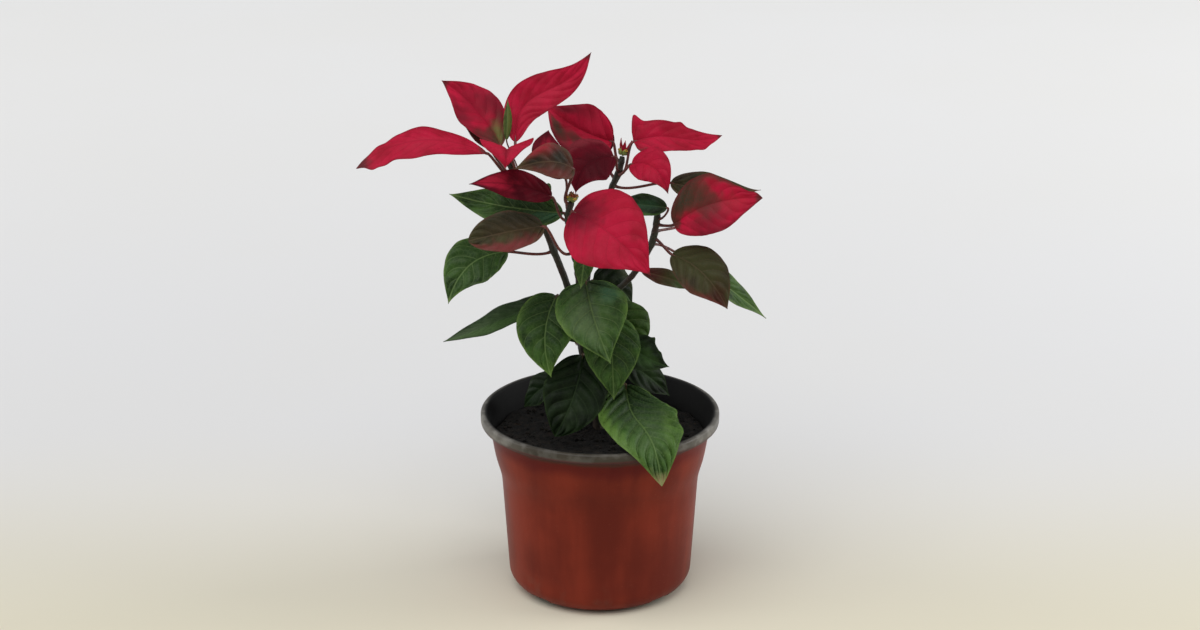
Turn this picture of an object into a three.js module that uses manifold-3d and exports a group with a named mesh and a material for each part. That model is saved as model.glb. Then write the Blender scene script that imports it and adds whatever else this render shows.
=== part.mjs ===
// Potted poinsettia (Euphorbia pulcherrima): a branched plant with green leaves and red bracts,
// standing in the soil of a round plastic nursery pot.
// Millimetres, +Z up. The origin is the centre of the pot's underside; the front is towards -Y.

import * as THREE from "three";
import { mergeVertices } from "three/addons/utils/BufferGeometryUtils.js";
import Module from "manifold-3d";

const wasm = await Module();
wasm.setup();

// ---------------------------------------------------------------- driving dimensions

const GAP = 0.3; // air between pieces that touch on the real plant

const POT = {
  height: 109,
  rimRadius: 70,
  lipWidth: 4.2, // how far the rolled lip stands out over the collar
  lipHeight: 5.8,
  lipTopWidth: 3,
  lipRound: 0.9,
  collarTopRadius: 64.4,
  collarFootRadius: 61.4,
  collarFootZ: 81,
  bodyTopRadius: 58,
  bodyTopZ: 71,
  bodyFootRadius: 54,
  cornerHeight: 12,
  cornerSteps: 4,
  footRadius: 39.5,
  wall: 1.3,
  floor: 1.8,
  segments: 36,
  slotCount: 4,
  slotWidth: 15,
  slotHeight: 5,
  slotInnerRadius: 36,
};

const SOIL = {
  level: 95,
  edgeDrop: 4, // how far the soil's edge is rounded off at the wall
  lump: 0.8,
  hump: 2.5,
  humpReach: 17,
  segments: 32,
  rings: [1, 0.97, 0.84, 0.68, 0.52, 0.36, 0.2, 0],
  holeBottomZ: 61.7,
  holeClearance: 0.5,
  holeSides: 12,
};

const STEM = {
  sides: 8,
  ringSpacing: 8,
  nodeSpacing: 2, // the least room between a node's ring and an ordinary one
  nodeSwelling: 0.45,
};

// Each branch runs through its points; its radius falls from the first value to the second.
const BRANCHES = {
  main: {
    points: [[0, 0, 62], [0, 0, 78], [0, 0, 94], [-4.5, 0, 119], [-10, 0, 148], [-14, 0, 170]],
    radius: [3.3, 2.3],
  },
  left: {
    points: [[-13, 0, 166], [-20, -1, 190], [-26, -3, 207], [-31, -5, 221], [-38, -7, 238], [-46, -9, 253],
      [-52, -10, 265]],
    radius: [2.3, 1.6],
  },
  front: {
    points: [[-12, 0, 160], [-12, -5, 177], [-13, -14, 202], [-17, -24, 223], [-18, -31, 238],
      [-16, -34, 248]],
    radius: [2.0, 1.5],
  },
  back: {
    points: [[-11, 0, 158], [-9, 5, 175], [-6, 13, 195], [0, 21, 218], [6, 27, 235], [11, 29, 246],
      [13, 30, 255]],
    radius: [2.0, 1.5],
  },
  right: {
    points: [[-9.5, 0, 146], [-6, 2, 160], [2, 2, 174], [10, -1, 184], [18, -4, 193], [25, -8, 205],
      [30, -11, 217], [33, -14, 235]],
    radius: [2.2, 1.6],
  },
};

// The leaf's blade and petiole. Shares along a petiole or blade run from 0 to 1.
const LEAF = {
  thickness: 0.9,
  ribDepth: 0.6, // how far the midrib stands out under the blade
  tipHalfWidth: 0.45,
  columns: [-1, -0.5, 0, 0.5, 1], // across the blade, from margin to margin
  bladeSteps: [0, 0.07, 0.18, 0.32, 0.47, 0.62, 0.76, 0.89, 1],
  lobeReach: 0.05, // half the length of a tooth, as a share of the blade's length
  wavePhase: { left: 2.2, right: 0.5 },
  petioleRadius: 0.85,
  petioleFlat: 0.8, // 1 is an oval petiole that thins to its edges, 0 a square one
  petioleSteps: [0, 0.3, 0.65],
  leave: 0.3, // how far the petiole keeps its first direction, as a share of its length
  arrive: 0.21, // and how far it has its last one
};

// What a row below leaves out. Lengths in mm, angles in degrees.
//   width, widest  greatest width and where it lies, from 0 at the base to 1 at the tip
//   heel, point    how full the base is and how drawn out the tip is (small is full)
//   lift, sway     bow of the midrib towards the upper face, single and double
//   bend, snake    bow of the midrib within the blade, to its right side, single and double
//   fold           the two halves raised like a V
//   wave, waves    height and number of the waves in the margin
//   lobes          shallow teeth: [place along the blade, side, height as a share of the width]
const LEAF_DEFAULTS = {
  width: 30, widest: 0.4, heel: 0.5, point: 1.25, lift: 5, sway: 0, bend: 0, snake: 0, fold: 8,
  wave: 0.8, waves: 2.5, lobes: [],
};

const GREEN = "#3c5a32";
const DARK_GREEN = "#26361f";
const OLIVE = "#44412c";
const RED = "#9f2139";
const DARK_RED = "#6d1626";

// `on` and `at` say where the petiole grows from: a branch and a share of its length.
// `base` and `tip` are the two ends of the blade, and `face` is where its upper side looks.
const LEAVES = [
  // crown of the left branch
  { name: "bract_left_far", on: "left", at: 0.9, base: [-64, -9, 269], tip: [-138, -10, 260],
    face: [0, -0.5, 0.87], width: 22, widest: 0.5, lift: 17, fold: -8, heel: 0.7, point: 0.85,
    lobes: [[0.76, -1, 0.3], [0.76, 1, -0.25], [0.82, -1, 0.3], [0.89, -1, 0.7], [0.89, 1, -0.3]],
    color: RED },
  { name: "bract_left_up", on: "left", at: 0.94, base: [-56, -5, 272], tip: [-90, 14, 305],
    face: [0.3, -0.8, 0.5], width: 27, widest: 0.48, lift: -3, bend: 5, heel: 0.7, point: 1.1, color: RED },
  { name: "bract_left_tall", on: "left", at: 0.985, base: [-48, -4, 274], tip: [-5, 16, 321],
    face: [-0.2, -0.9, 0.3], width: 23, widest: 0.4, lift: -4, bend: -6.5, snake: -5, heel: 0.6,
    point: 1.1, color: RED },
  { name: "bract_left_front", on: "left", at: 0.95, base: [-52, -15, 272], tip: [-52, -57, 275],
    face: [0, 0.1, 1], width: 32, widest: 0.42, lift: 5, fold: 20, color: RED },
  { name: "leaf_left_young", on: "left", at: 0.9, base: [-53, -3, 275], tip: [-52, -4, 299],
    face: [0.3, -1, 0], width: 5, widest: 0.5, lift: 1, wave: 0, color: GREEN },
  { name: "bract_left_back", on: "left", at: 0.82, base: [-62, 2, 268], tip: [-80, 34, 286],
    face: [0, -0.2, 1], width: 20, lift: 5, color: DARK_RED },
  { name: "leaf_left_low", on: "left", at: 0.42, base: [-53, -12, 211], tip: [-86, -36, 188],
    face: [-0.2, -0.8, 0.5], width: 30, widest: 0.42, lift: 5, bend: 7, color: GREEN },
  { name: "leaf_left_behind", on: "left", at: 0.62, base: [-36, 6, 236], tip: [-46, 42, 228],
    face: [0, 0.1, 1], width: 24, lift: 5, color: GREEN },

  // crown of the front branch
  { name: "bract_front_heart", on: "front", at: 0.9, base: [-15, -42, 245], tip: [28, -76, 219],
    face: [0, -0.9, 0.4], width: 47, widest: 0.38, lift: 5, bend: -3, heel: 0.42, fold: 5, color: RED },
  { name: "bract_front_left", on: "front", at: 0.86, base: [-27, -34, 251], tip: [-73, -42, 261],
    face: [0, -0.75, 0.6], width: 18, widest: 0.42, lift: 4, bend: 2, color: DARK_RED },
  { name: "bract_front_dark", on: "front", at: 0.985, base: [-15, -41, 270], tip: [-47, -62, 276],
    face: [0, -0.8, 0.6], width: 22, widest: 0.35, lift: 5, bend: 2, heel: 0.4, color: OLIVE },
  { name: "bract_front_small", on: "front", at: 0.93, base: [-20, -26, 260], tip: [-29, -8, 282],
    face: [0, -0.9, 0.3], width: 17, widest: 0.55, lift: 3, point: 1, bend: -5, color: DARK_RED },
  { name: "leaf_front_upper", on: "front", at: 0.72, base: [-21, -20, 237], tip: [-86, -4, 243],
    face: [0, -0.7, 0.7], width: 26, lift: 4, bend: -4, color: GREEN },
  { name: "leaf_front_brown", on: "front", at: 0.6, base: [-32, -38, 235], tip: [-73, -58, 233],
    face: [0, -0.8, 0.6], width: 24, widest: 0.55, lift: 5, bend: -1, point: 0.6, color: OLIVE },
  { name: "leaf_front_inner", on: "front", at: 0.42, base: [-8, -18, 216], tip: [-11, -30, 195],
    face: [0, -0.9, 0.3], width: 12, lift: 2, color: GREEN },
  { name: "leaf_front_hidden", on: "front", at: 0.55, base: [2, 0, 206], tip: [26, 34, 200],
    face: [0, -0.1, 1], width: 20, lift: 5, color: GREEN },

  // crown of the back branch
  { name: "bract_back_top", on: "back", at: 0.97, base: [7, 33, 263], tip: [-31, 44, 282],
    face: [0, -0.85, 0.5], width: 32, widest: 0.4, lift: 4, fold: 14, heel: 0.4, bend: -4, color: RED },
  { name: "bract_back_hanging", on: "back", at: 0.92, base: [8, 20, 258], tip: [-14, 4, 241],
    face: [-0.2, -0.85, 0.4], width: 30, widest: 0.45, lift: 5, bend: 6, heel: 0.4, color: DARK_RED },
  { name: "bract_back_right", on: "back", at: 0.91, base: [19.5, 30, 264], tip: [71, 42, 264],
    face: [0, -0.8, 0.55], width: 20, widest: 0.16, lift: 3, bend: 1, snake: -2, heel: 0.3, point: 0.9,
    lobes: [[0.07, -1, 0.7], [0.5, -1, 0.2], [0.76, 1, 0.3]], color: RED },
  { name: "bract_back_heart", on: "back", at: 0.9, base: [18, 21, 253], tip: [39, 2, 241],
    face: [0, -0.9, 0.4], width: 22, lift: 5, bend: -6, heel: 0.4, color: RED },
  { name: "leaf_back_right", on: "back", at: 0.83, base: [41, 30, 239], tip: [94, 38, 232],
    face: [0, -0.8, 0.6], width: 20, widest: 0.35, lift: 2, bend: 3, point: 1.6, color: OLIVE },
  { name: "bract_back_hidden", on: "back", at: 0.87, base: [3, 38, 254], tip: [-18, 78, 256],
    face: [0, -0.1, 1], width: 26, lift: 6, color: DARK_RED },
  { name: "leaf_back_low", on: "back", at: 0.6, base: [6, 32, 196], tip: [16, 66, 182],
    face: [0, 0.3, 1], width: 24, lift: 5, color: GREEN },

  // crown of the right branch
  { name: "bract_right_large", on: "right", at: 0.93, base: [42, -17, 229], tip: [91, -36, 251],
    face: [0, -0.85, 0.5], width: 35, widest: 0.5, lift: 5, bend: -4, heel: 0.45, point: 0.95,
    lobes: [[0.62, -1, -0.15], [0.69, -1, -0.2], [0.76, -1, -0.3], [0.83, -1, -0.3], [0.89, -1, -0.35]],
    color: RED },
  { name: "leaf_right_inner", on: "right", at: 0.97, base: [38, -20, 240], tip: [8, -14, 241],
    face: [0, -0.85, 0.5], width: 13, lift: 2, color: DARK_GREEN },
  { name: "leaf_right_olive", on: "right", at: 0.84, base: [41, -17, 211], tip: [72, -42, 187],
    face: [0, -0.85, 0.45], width: 28, widest: 0.48, lift: 5, bend: -4, heel: 0.55, point: 1.1,
    color: OLIVE },
  { name: "leaf_right_low", on: "right", at: 0.8, base: [48, 4, 202], tip: [98, 30, 155],
    face: [0, -0.7, 0.7], width: 16, lift: 4, bend: 1, point: 1.5, color: GREEN },
  { name: "leaf_right_narrow", on: "right", at: 0.66, base: [24, -12, 199], tip: [58, -6, 186],
    face: [0, -0.8, 0.6], width: 10, lift: 2, color: OLIVE },
  { name: "leaf_right_hidden", on: "right", at: 0.88, base: [47, 4, 222], tip: [66, 40, 216],
    face: [0, -0.1, 1], width: 24, lift: 5, color: GREEN },

  // leaves of the main stem and the fork, from the top down
  { name: "leaf_fork_right", on: "back", at: 0.22, base: [-4, 18, 183], tip: [19, 30, 163],
    face: [0, -0.7, 0.7], width: 24, lift: 4, bend: -3, heel: 0.4, color: DARK_GREEN },
  { name: "leaf_middle_front", on: "main", at: 0.9, base: [-8, -14, 193], tip: [6, -50, 157],
    face: [0, -0.8, 0.6], width: 42, widest: 0.38, lift: 5, bend: 2, heel: 0.42, color: GREEN },
  { name: "leaf_middle_left_long", on: "main", at: 0.94, base: [-26, 8, 177], tip: [-93, 36, 138],
    face: [0, -0.55, 0.8], width: 17, lift: 3, bend: -3.5, point: 1.2, color: DARK_GREEN },
  { name: "leaf_middle_left", on: "main", at: 0.86, base: [-25, -6, 182], tip: [-28, -30, 141],
    face: [0, -0.85, 0.5], width: 34, lift: 6, bend: 5, heel: 0.4, color: GREEN },
  { name: "leaf_middle_right", on: "right", at: 0.2, base: [5, 5, 171], tip: [24, 22, 138],
    face: [0, -0.85, 0.5], width: 24, lift: 4, bend: -4, color: GREEN },
  { name: "leaf_middle_back", on: "main", at: 0.88, base: [-6, 16, 160], tip: [2, 58, 158],
    face: [0, -0.1, 1], width: 28, lift: 6, color: GREEN },
  { name: "leaf_low_centre", on: "main", at: 0.77, base: [6, -10, 171], tip: [8, -30, 127],
    face: [0, -0.85, 0.5], width: 33, widest: 0.36, lift: 5, heel: 0.4, color: GREEN },
  { name: "leaf_low_right", on: "main", at: 0.7, base: [14, -4, 155], tip: [40, -16, 142],
    face: [0, -0.75, 0.6], width: 22, lift: 4, bend: 3.5, lobes: [[0.5, -1, 0.2], [0.8, -1, 0.25]],
    color: DARK_GREEN },
  { name: "leaf_low_back", on: "main", at: 0.8, base: [-14, 14, 146], tip: [-21, 52, 148],
    face: [0, -0.1, 1], width: 28, lift: 6, color: GREEN },
  { name: "leaf_low_dark", on: "main", at: 0.62, base: [-10, -10, 147], tip: [-26, -34, 106],
    face: [0, -0.85, 0.5], width: 37, widest: 0.45, lift: 5, point: 0.8, bend: -3, color: DARK_GREEN },
  { name: "leaf_foot_right", on: "main", at: 0.56, base: [11, 4, 140], tip: [41, 14, 112],
    face: [0, -0.7, 0.7], width: 20, lift: 4, color: DARK_GREEN },
  { name: "leaf_foot_back", on: "main", at: 0.66, base: [4, 12, 133], tip: [14, 50, 132],
    face: [0, -0.1, 1], width: 26, lift: 6, color: GREEN },
  { name: "leaf_foot_behind", on: "main", at: 0.44, base: [-10, 14, 114], tip: [-26, 46, 104],
    face: [0, 0.1, 1], width: 24, lift: 5, color: DARK_GREEN },
  { name: "leaf_foot_left", on: "main", at: 0.52, base: [-22, 6, 128], tip: [-45, 24, 101],
    face: [0, -0.7, 0.7], width: 18, lift: 4, color: DARK_GREEN },
  { name: "leaf_front_drooping", on: "main", at: 0.48, base: [15, -12, 129], tip: [35, -74, 92],
    face: [0, -0.4, 0.9], width: 43, widest: 0.46, lift: 9, sway: -5, bend: 1.5, snake: 1.5,
    heel: 0.45, point: 0.9, fold: 4, lobes: [[0.45, -1, 0.1], [0.7, -1, 0.12]], color: GREEN },
];

// ---------------------------------------------------------------- solids

const vec = (point) => new THREE.Vector3(...point);

// The part of a vector that is square to a unit direction, at length 1.
function squareTo(direction, vector) {
  return vector.clone().addScaledVector(direction, -vector.dot(direction)).normalize();
}

function geometryFrom(points, triangles) {
  const geometry = new THREE.BufferGeometry();
  geometry.setAttribute("position", new THREE.Float32BufferAttribute(points.flatMap((p) => p.toArray()), 3));
  geometry.setIndex(triangles.flat());
  return geometry;
}

function solidFrom(geometry) {
  const bare = geometry.clone();
  bare.deleteAttribute("normal");
  bare.deleteAttribute("uv");
  const merged = mergeVertices(bare, 1e-4);
  return new wasm.Manifold(new wasm.Mesh({
    numProp: 3,
    vertProperties: new Float32Array(merged.attributes.position.array),
    triVerts: new Uint32Array(merged.index.array),
  }));
}

function geometryOf(solid) {
  const { vertProperties, triVerts } = solid.getMesh();
  const geometry = new THREE.BufferGeometry();
  geometry.setAttribute("position", new THREE.BufferAttribute(new Float32Array(vertProperties), 3));
  geometry.setIndex(new THREE.BufferAttribute(new Uint32Array(triVerts), 1));
  return geometry;
}

function unionOf(geometries) {
  return geometryOf(geometries.map(solidFrom).reduce((whole, piece) => whole.add(piece)));
}

// A lathe about Z: the profile is a list of [radius, height].
function lathe(profile, segments) {
  const turned = new THREE.LatheGeometry(profile.map(([r, z]) => new THREE.Vector2(r, z)), segments);
  return turned.rotateX(Math.PI / 2);
}

// ---------------------------------------------------------------- pot and soil

// The quarter-round corner between the flat underside and the wall, at a distance inside the surface.
function potCorner(inset, floor) {
  const reach = POT.bodyFootRadius - POT.footRadius;
  return Array.from({ length: POT.cornerSteps + 1 }, (_, i) => {
    const angle = (Math.PI / 2) * (i / POT.cornerSteps);
    return [
      POT.footRadius - inset + reach * Math.sin(angle),
      floor + (POT.cornerHeight - floor) * (1 - Math.cos(angle)),
    ];
  });
}

// The wall from the corner up to the collar's top, at a distance inside the surface.
function potWall(inset) {
  const collarTopZ = POT.height - POT.lipHeight - POT.lipWidth;
  return [
    [POT.bodyTopRadius - inset, POT.bodyTopZ],
    [POT.collarFootRadius - inset, POT.collarFootZ],
    [POT.collarTopRadius - inset, collarTopZ],
  ];
}

// The outside radius of the collar at a height.
function potWallRadius(z) {
  const [, [footRadius, footZ], [topRadius, topZ]] = potWall(0);
  return THREE.MathUtils.mapLinear(z, footZ, topZ, footRadius, topRadius);
}

function makePot() {
  const { height, rimRadius, lipWidth, lipHeight, lipTopWidth, lipRound, wall } = POT;
  const underLip = height - lipHeight;
  const lip = [
    [rimRadius - lipWidth, underLip - lipRound / 2],
    [rimRadius - lipRound, underLip],
    [rimRadius, underLip + lipRound],
    [rimRadius, height - lipRound],
    [rimRadius - lipRound, height],
    [rimRadius - lipTopWidth, height],
    [rimRadius - lipTopWidth - lipRound, height - lipRound],
  ];
  const outside = [[0, 0], ...potCorner(0, 0), ...potWall(0), ...lip];
  const inside = [...potCorner(wall, POT.floor), ...potWall(wall)].reverse();
  let pot = solidFrom(lathe([...outside, ...inside, [0, POT.floor]], POT.segments));
  for (let i = 0; i < POT.slotCount; i++) {
    const slotLength = POT.rimRadius - POT.slotInnerRadius;
    const slot = new THREE.BoxGeometry(slotLength, POT.slotWidth, 2 * POT.slotHeight);
    slot.translate(POT.slotInnerRadius + slotLength / 2, 0, 0);
    slot.rotateZ((2 * Math.PI * (i + 0.5)) / POT.slotCount);
    pot = pot.subtract(solidFrom(slot));
  }
  return geometryOf(pot);
}

// Uneven height of the soil's top, with a low hump round the stem.
function soilTop(x, y) {
  const ripple = Math.sin(0.21 * x + 1.3) * Math.cos(0.17 * y) + 0.6 * Math.sin(0.34 * y - 0.29 * x);
  const hump = Math.exp(-(x * x + y * y) / SOIL.humpReach ** 2);
  return SOIL.level + SOIL.lump * ripple + SOIL.hump * hump;
}

function makeSoil() {
  const inset = POT.wall + GAP;
  const under = [[0, POT.floor + GAP], ...potCorner(inset, POT.floor + GAP), ...potWall(inset).slice(0, 2)];
  const topRadius = potWallRadius(SOIL.level - SOIL.edgeDrop) - inset;
  const top = SOIL.rings.map((share) => [topRadius * share, SOIL.level]);
  const soil = lathe([...under, [topRadius, SOIL.level - SOIL.edgeDrop], ...top], SOIL.segments);
  const position = soil.attributes.position;
  for (let i = 0; i < position.count; i++) {
    if (position.getZ(i) > SOIL.level - SOIL.edgeDrop / 2) {
      position.setZ(i, soilTop(position.getX(i), position.getY(i)));
    }
  }
  const holeRadius = BRANCHES.main.radius[0] + SOIL.holeClearance;
  const holeHeight = POT.height - SOIL.holeBottomZ;
  const hole = new THREE.CylinderGeometry(holeRadius, holeRadius, holeHeight, SOIL.holeSides);
  hole.rotateX(Math.PI / 2).translate(0, 0, SOIL.holeBottomZ + holeHeight / 2);
  return geometryOf(solidFrom(soil).subtract(solidFrom(hole)));
}

// ---------------------------------------------------------------- stem

const branchCurves = Object.fromEntries(Object.entries(BRANCHES).map(([name, { points }]) => (
  [name, new THREE.CatmullRomCurve3(points.map(vec))]
)));

const nodesOn = (name) => LEAVES.filter((row) => row.on === name).map((row) => row.at);

// The stem's radius: an even taper that swells where a petiole grows.
function stemRadius(name, at) {
  const [low, high] = BRANCHES[name].radius;
  const swells = nodesOn(name).some((node) => Math.abs(node - at) < 1e-6);
  return THREE.MathUtils.lerp(low, high, at) + (swells ? STEM.nodeSwelling : 0);
}

// A closed tube with one ring of points at each share of the curve's length.
function tubeAlong(curve, shares, radiusAt, sides) {
  const points = [];
  const triangles = [];
  let across = new THREE.Vector3(1, 0, 0);
  for (const share of shares) {
    const along = curve.getTangentAt(share);
    across = squareTo(along, across);
    const other = along.clone().cross(across);
    for (let k = 0; k < sides; k++) {
      const angle = (2 * Math.PI * k) / sides;
      points.push(curve.getPointAt(share)
        .addScaledVector(across, radiusAt(share) * Math.cos(angle))
        .addScaledVector(other, radiusAt(share) * Math.sin(angle)));
    }
  }
  for (let i = 0; i + 1 < shares.length; i++) {
    for (let k = 0; k < sides; k++) {
      const a = i * sides + k;
      const b = i * sides + ((k + 1) % sides);
      triangles.push([a, b, a + sides], [b, b + sides, a + sides]);
    }
  }
  const last = (shares.length - 1) * sides;
  for (let k = 1; k + 1 < sides; k++) {
    triangles.push([0, k + 1, k], [last, last + k, last + k + 1]);
  }
  return geometryFrom(points, triangles);
}

function makeStem() {
  return unionOf(Object.keys(BRANCHES).map((name) => {
    const curve = branchCurves[name];
    const length = curve.getLength();
    const nodes = nodesOn(name);
    const rings = Math.round(length / STEM.ringSpacing);
    const spaced = Array.from({ length: rings + 1 }, (_, i) => i / rings);
    const isClear = (share) => nodes.every((node) => Math.abs(node - share) * length > STEM.nodeSpacing);
    const between = spaced.slice(1, -1).filter(isClear);
    const shares = [...new Set([0, ...between, ...nodes, 1])].sort((a, b) => a - b);
    return tubeAlong(curve, shares, (at) => stemRadius(name, at), STEM.sides);
  }));
}

// ---------------------------------------------------------------- leaves

// Half the blade's width at u, as a share of its greatest half width.
function outline(u, shape) {
  const below = u < shape.widest;
  const v = below ? 1 - u / shape.widest : (u - shape.widest) / (1 - shape.widest);
  return Math.max(0, Math.cos((Math.PI / 2) * v)) ** (below ? shape.heel : shape.point);
}

function lobeAt(u, side, shape) {
  const onSide = shape.lobes.filter(([, lobeSide]) => lobeSide === Math.sign(side));
  const heights = onSide.map(([at, , height]) => height * Math.exp(-(((u - at) / LEAF.lobeReach) ** 2)));
  return heights.reduce((sum, height) => sum + height, 0);
}

// Midrib, frame and surface of a blade.
function bladeOf(row) {
  const shape = { ...LEAF_DEFAULTS, ...row };
  const base = vec(row.base);
  const reach = vec(row.tip).sub(base);
  const along = reach.clone().normalize();
  const up = squareTo(along, vec(row.face));
  const right = along.clone().cross(up);
  const midrib = (u) => {
    const arch = 4 * u * (1 - u);
    const double = Math.sin(2 * Math.PI * u);
    return base.clone()
      .addScaledVector(reach, u)
      .addScaledVector(up, shape.lift * arch + shape.sway * double)
      .addScaledVector(right, shape.bend * arch + shape.snake * double);
  };
  const frameAt = (u) => {
    const step = 1e-3;
    const tangent = midrib(u + step).sub(midrib(u - step)).normalize();
    const across = squareTo(tangent, right);
    return { tangent, across, normal: across.clone().cross(tangent) };
  };
  const fold = THREE.MathUtils.degToRad(shape.fold);
  const surface = (u, s) => {
    const { across, normal } = frameAt(u);
    const share = outline(u, shape);
    const half = Math.max(LEAF.tipHalfWidth, (shape.width / 2) * share * (1 + lobeAt(u, s, shape)));
    const phase = s > 0 ? LEAF.wavePhase.right : LEAF.wavePhase.left;
    const swell = shape.wave * Math.sin(2 * Math.PI * shape.waves * u + phase);
    const rise = Math.abs(s) * half * Math.sin(fold) + s * s * share * swell;
    return midrib(u).addScaledVector(across, s * half * Math.cos(fold)).addScaledVector(normal, rise);
  };
  return { frameAt, surface };
}

// The curve of a petiole from the stem's skin to the base of its blade.
function petioleOf(row, blade) {
  const curve = branchCurves[row.on];
  const node = curve.getPointAt(row.at);
  const base = vec(row.base);
  const outward = squareTo(curve.getTangentAt(row.at), base.clone().sub(node));
  const start = node.clone().addScaledVector(outward, stemRadius(row.on, row.at) + GAP);
  const length = start.distanceTo(base);
  return new THREE.CubicBezierCurve3(
    start,
    start.clone().addScaledVector(outward, LEAF.leave * length),
    base.clone().addScaledVector(blade.frameAt(0).tangent, -LEAF.arrive * length),
    base,
  );
}

// One leaf, petiole and blade in one skin. Every ring has an upper and a lower row of points,
// and both rows are split into triangles alike.
function makeLeaf(row) {
  const blade = bladeOf(row);
  const petiole = petioleOf(row, blade);
  const { columns } = LEAF;
  const rings = [];
  let across = blade.frameAt(0).across;
  for (const t of [...LEAF.petioleSteps].reverse()) {
    const tangent = petiole.getTangent(t);
    across = squareTo(tangent, across);
    const normal = across.clone().cross(tangent);
    const centre = petiole.getPoint(t);
    rings.unshift([1, -1].map((face) => columns.map((s) => centre.clone()
      .addScaledVector(across, LEAF.petioleRadius * s)
      .addScaledVector(normal, face * LEAF.petioleRadius * Math.sqrt(1 - LEAF.petioleFlat * s * s)))));
  }
  for (const u of LEAF.bladeSteps) {
    const { normal } = blade.frameAt(u);
    rings.push([1, -1].map((face) => columns.map((s) => {
      const rib = face < 0 && s === 0 ? LEAF.ribDepth * (1 - u) : 0;
      return blade.surface(u, s).addScaledVector(normal, face * (LEAF.thickness / 2 + rib));
    })));
  }

  const triangles = [];
  const count = columns.length;
  const at = (ring, face, column) => (2 * ring + face) * count + column;
  const quad = (a, b, c, d) => triangles.push([a, b, c], [a, c, d]);
  for (let i = 0; i + 1 < rings.length; i++) {
    for (let j = 0; j + 1 < count; j++) {
      const upper = [at(i, 0, j), at(i, 0, j + 1), at(i + 1, 0, j + 1), at(i + 1, 0, j)];
      const lower = [at(i, 1, j), at(i, 1, j + 1), at(i + 1, 1, j + 1), at(i + 1, 1, j)];
      const turn = j < count / 2 - 1 ? 0 : 1;
      const [a, b, c, d] = [...upper, ...upper].slice(turn, turn + 4);
      const [e, f, g, h] = [...lower, ...lower].slice(turn, turn + 4);
      quad(a, b, c, d);
      triangles.push([e, g, f], [e, h, g]);
    }
    const end = count - 1;
    quad(at(i, 1, end), at(i + 1, 1, end), at(i + 1, 0, end), at(i, 0, end));
    quad(at(i, 0, 0), at(i + 1, 0, 0), at(i + 1, 1, 0), at(i, 1, 0));
  }
  const last = rings.length - 1;
  for (let j = 0; j + 1 < count; j++) {
    quad(at(0, 1, j), at(0, 1, j + 1), at(0, 0, j + 1), at(0, 0, j));
    quad(at(last, 1, j), at(last, 0, j), at(last, 0, j + 1), at(last, 1, j + 1));
  }
  return geometryFrom(rings.flat(2), triangles);
}

// ---------------------------------------------------------------- flower buds

// The middle of a crown: small true flowers round a middle one, standing on the branch's end,
// in one crown with slender young bracts between them.
const BUDS = { radius: 1.5, height: 2.2, count: 4, spread: 1.8, sink: 0.4, stagger: 0.3, turn: 0.4 };
const SPIKES = { crown: "back", count: 3, radius: 0.8, length: 9, sides: 5, spread: 1.2, lean: 0.3 };

function makeBuds(name) {
  const curve = branchCurves[name];
  const axis = curve.getTangentAt(1);
  const foot = curve.getPointAt(1).addScaledVector(axis, GAP);
  const tilt = new THREE.Quaternion().setFromUnitVectors(new THREE.Vector3(0, 0, 1), axis);
  const settle = (shape) => shape.applyQuaternion(tilt).translate(foot.x, foot.y, foot.z);
  const bud = (x, y, z) => {
    const ball = new THREE.SphereGeometry(1, 6, 5).rotateX(Math.PI / 2);
    return settle(ball.scale(BUDS.radius, BUDS.radius, BUDS.height).translate(x, y, z + BUDS.height));
  };
  const round = (count, i) => (2 * Math.PI * i) / count + BUDS.turn;
  const ring = Array.from({ length: BUDS.count }, (_, i) => {
    const angle = round(BUDS.count, i);
    const height = BUDS.sink + BUDS.stagger * (i % 2);
    return bud(BUDS.spread * Math.cos(angle), BUDS.spread * Math.sin(angle), height);
  });
  const spikes = Array.from({ length: name === SPIKES.crown ? SPIKES.count : 0 }, (_, i) => {
    const angle = round(SPIKES.count, i);
    const cone = new THREE.ConeGeometry(SPIKES.radius, SPIKES.length, SPIKES.sides).rotateX(Math.PI / 2);
    cone.translate(SPIKES.spread, 0, SPIKES.length / 2 + BUDS.height / 2).rotateY(SPIKES.lean);
    return settle(cone.rotateZ(angle));
  });
  return unionOf([bud(0, 0, 0), ...ring, ...spikes]);
}

// ---------------------------------------------------------------- assembly

const FINISHES = {
  pot: ["#7a2f25", 0.45],
  soil: ["#171310", 0.95],
  stem: ["#2c2a1e", 0.6],
  buds: ["#7c8a3a", 0.55],
};
const LEAF_ROUGHNESS = 0.5;

const plant = new THREE.Group();

function place(name, geometry, [color, roughness]) {
  const material = new THREE.MeshStandardMaterial({ color, roughness, metalness: 0 });
  geometry.computeVertexNormals();
  const mesh = new THREE.Mesh(geometry, material);
  mesh.name = name;
  plant.add(mesh);
}

place("pot", makePot(), FINISHES.pot);
place("soil", makeSoil(), FINISHES.soil);
place("stem", makeStem(), FINISHES.stem);
for (const row of LEAVES) {
  place(row.name, makeLeaf(row), [row.color, LEAF_ROUGHNESS]);
}
for (const name of ["left", "front", "back", "right"]) {
  place(`buds_${name}`, makeBuds(name), FINISHES.buds);
}

export default plant;
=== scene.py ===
"""Finished looks of a potted poinsettia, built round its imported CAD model.

The pot, the soil, the branched stem, each leaf or bract and each flower cluster is one piece that stands
for the CAD node of its name. Sizes are given in millimetres and the meshes are made in metres.
"""

import logging
import math
import random
from collections.abc import Callable, Sequence
from dataclasses import dataclass, field
from enum import Enum

import bpy
import numpy as np
from mathutils import Matrix, Vector, noise


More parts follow.
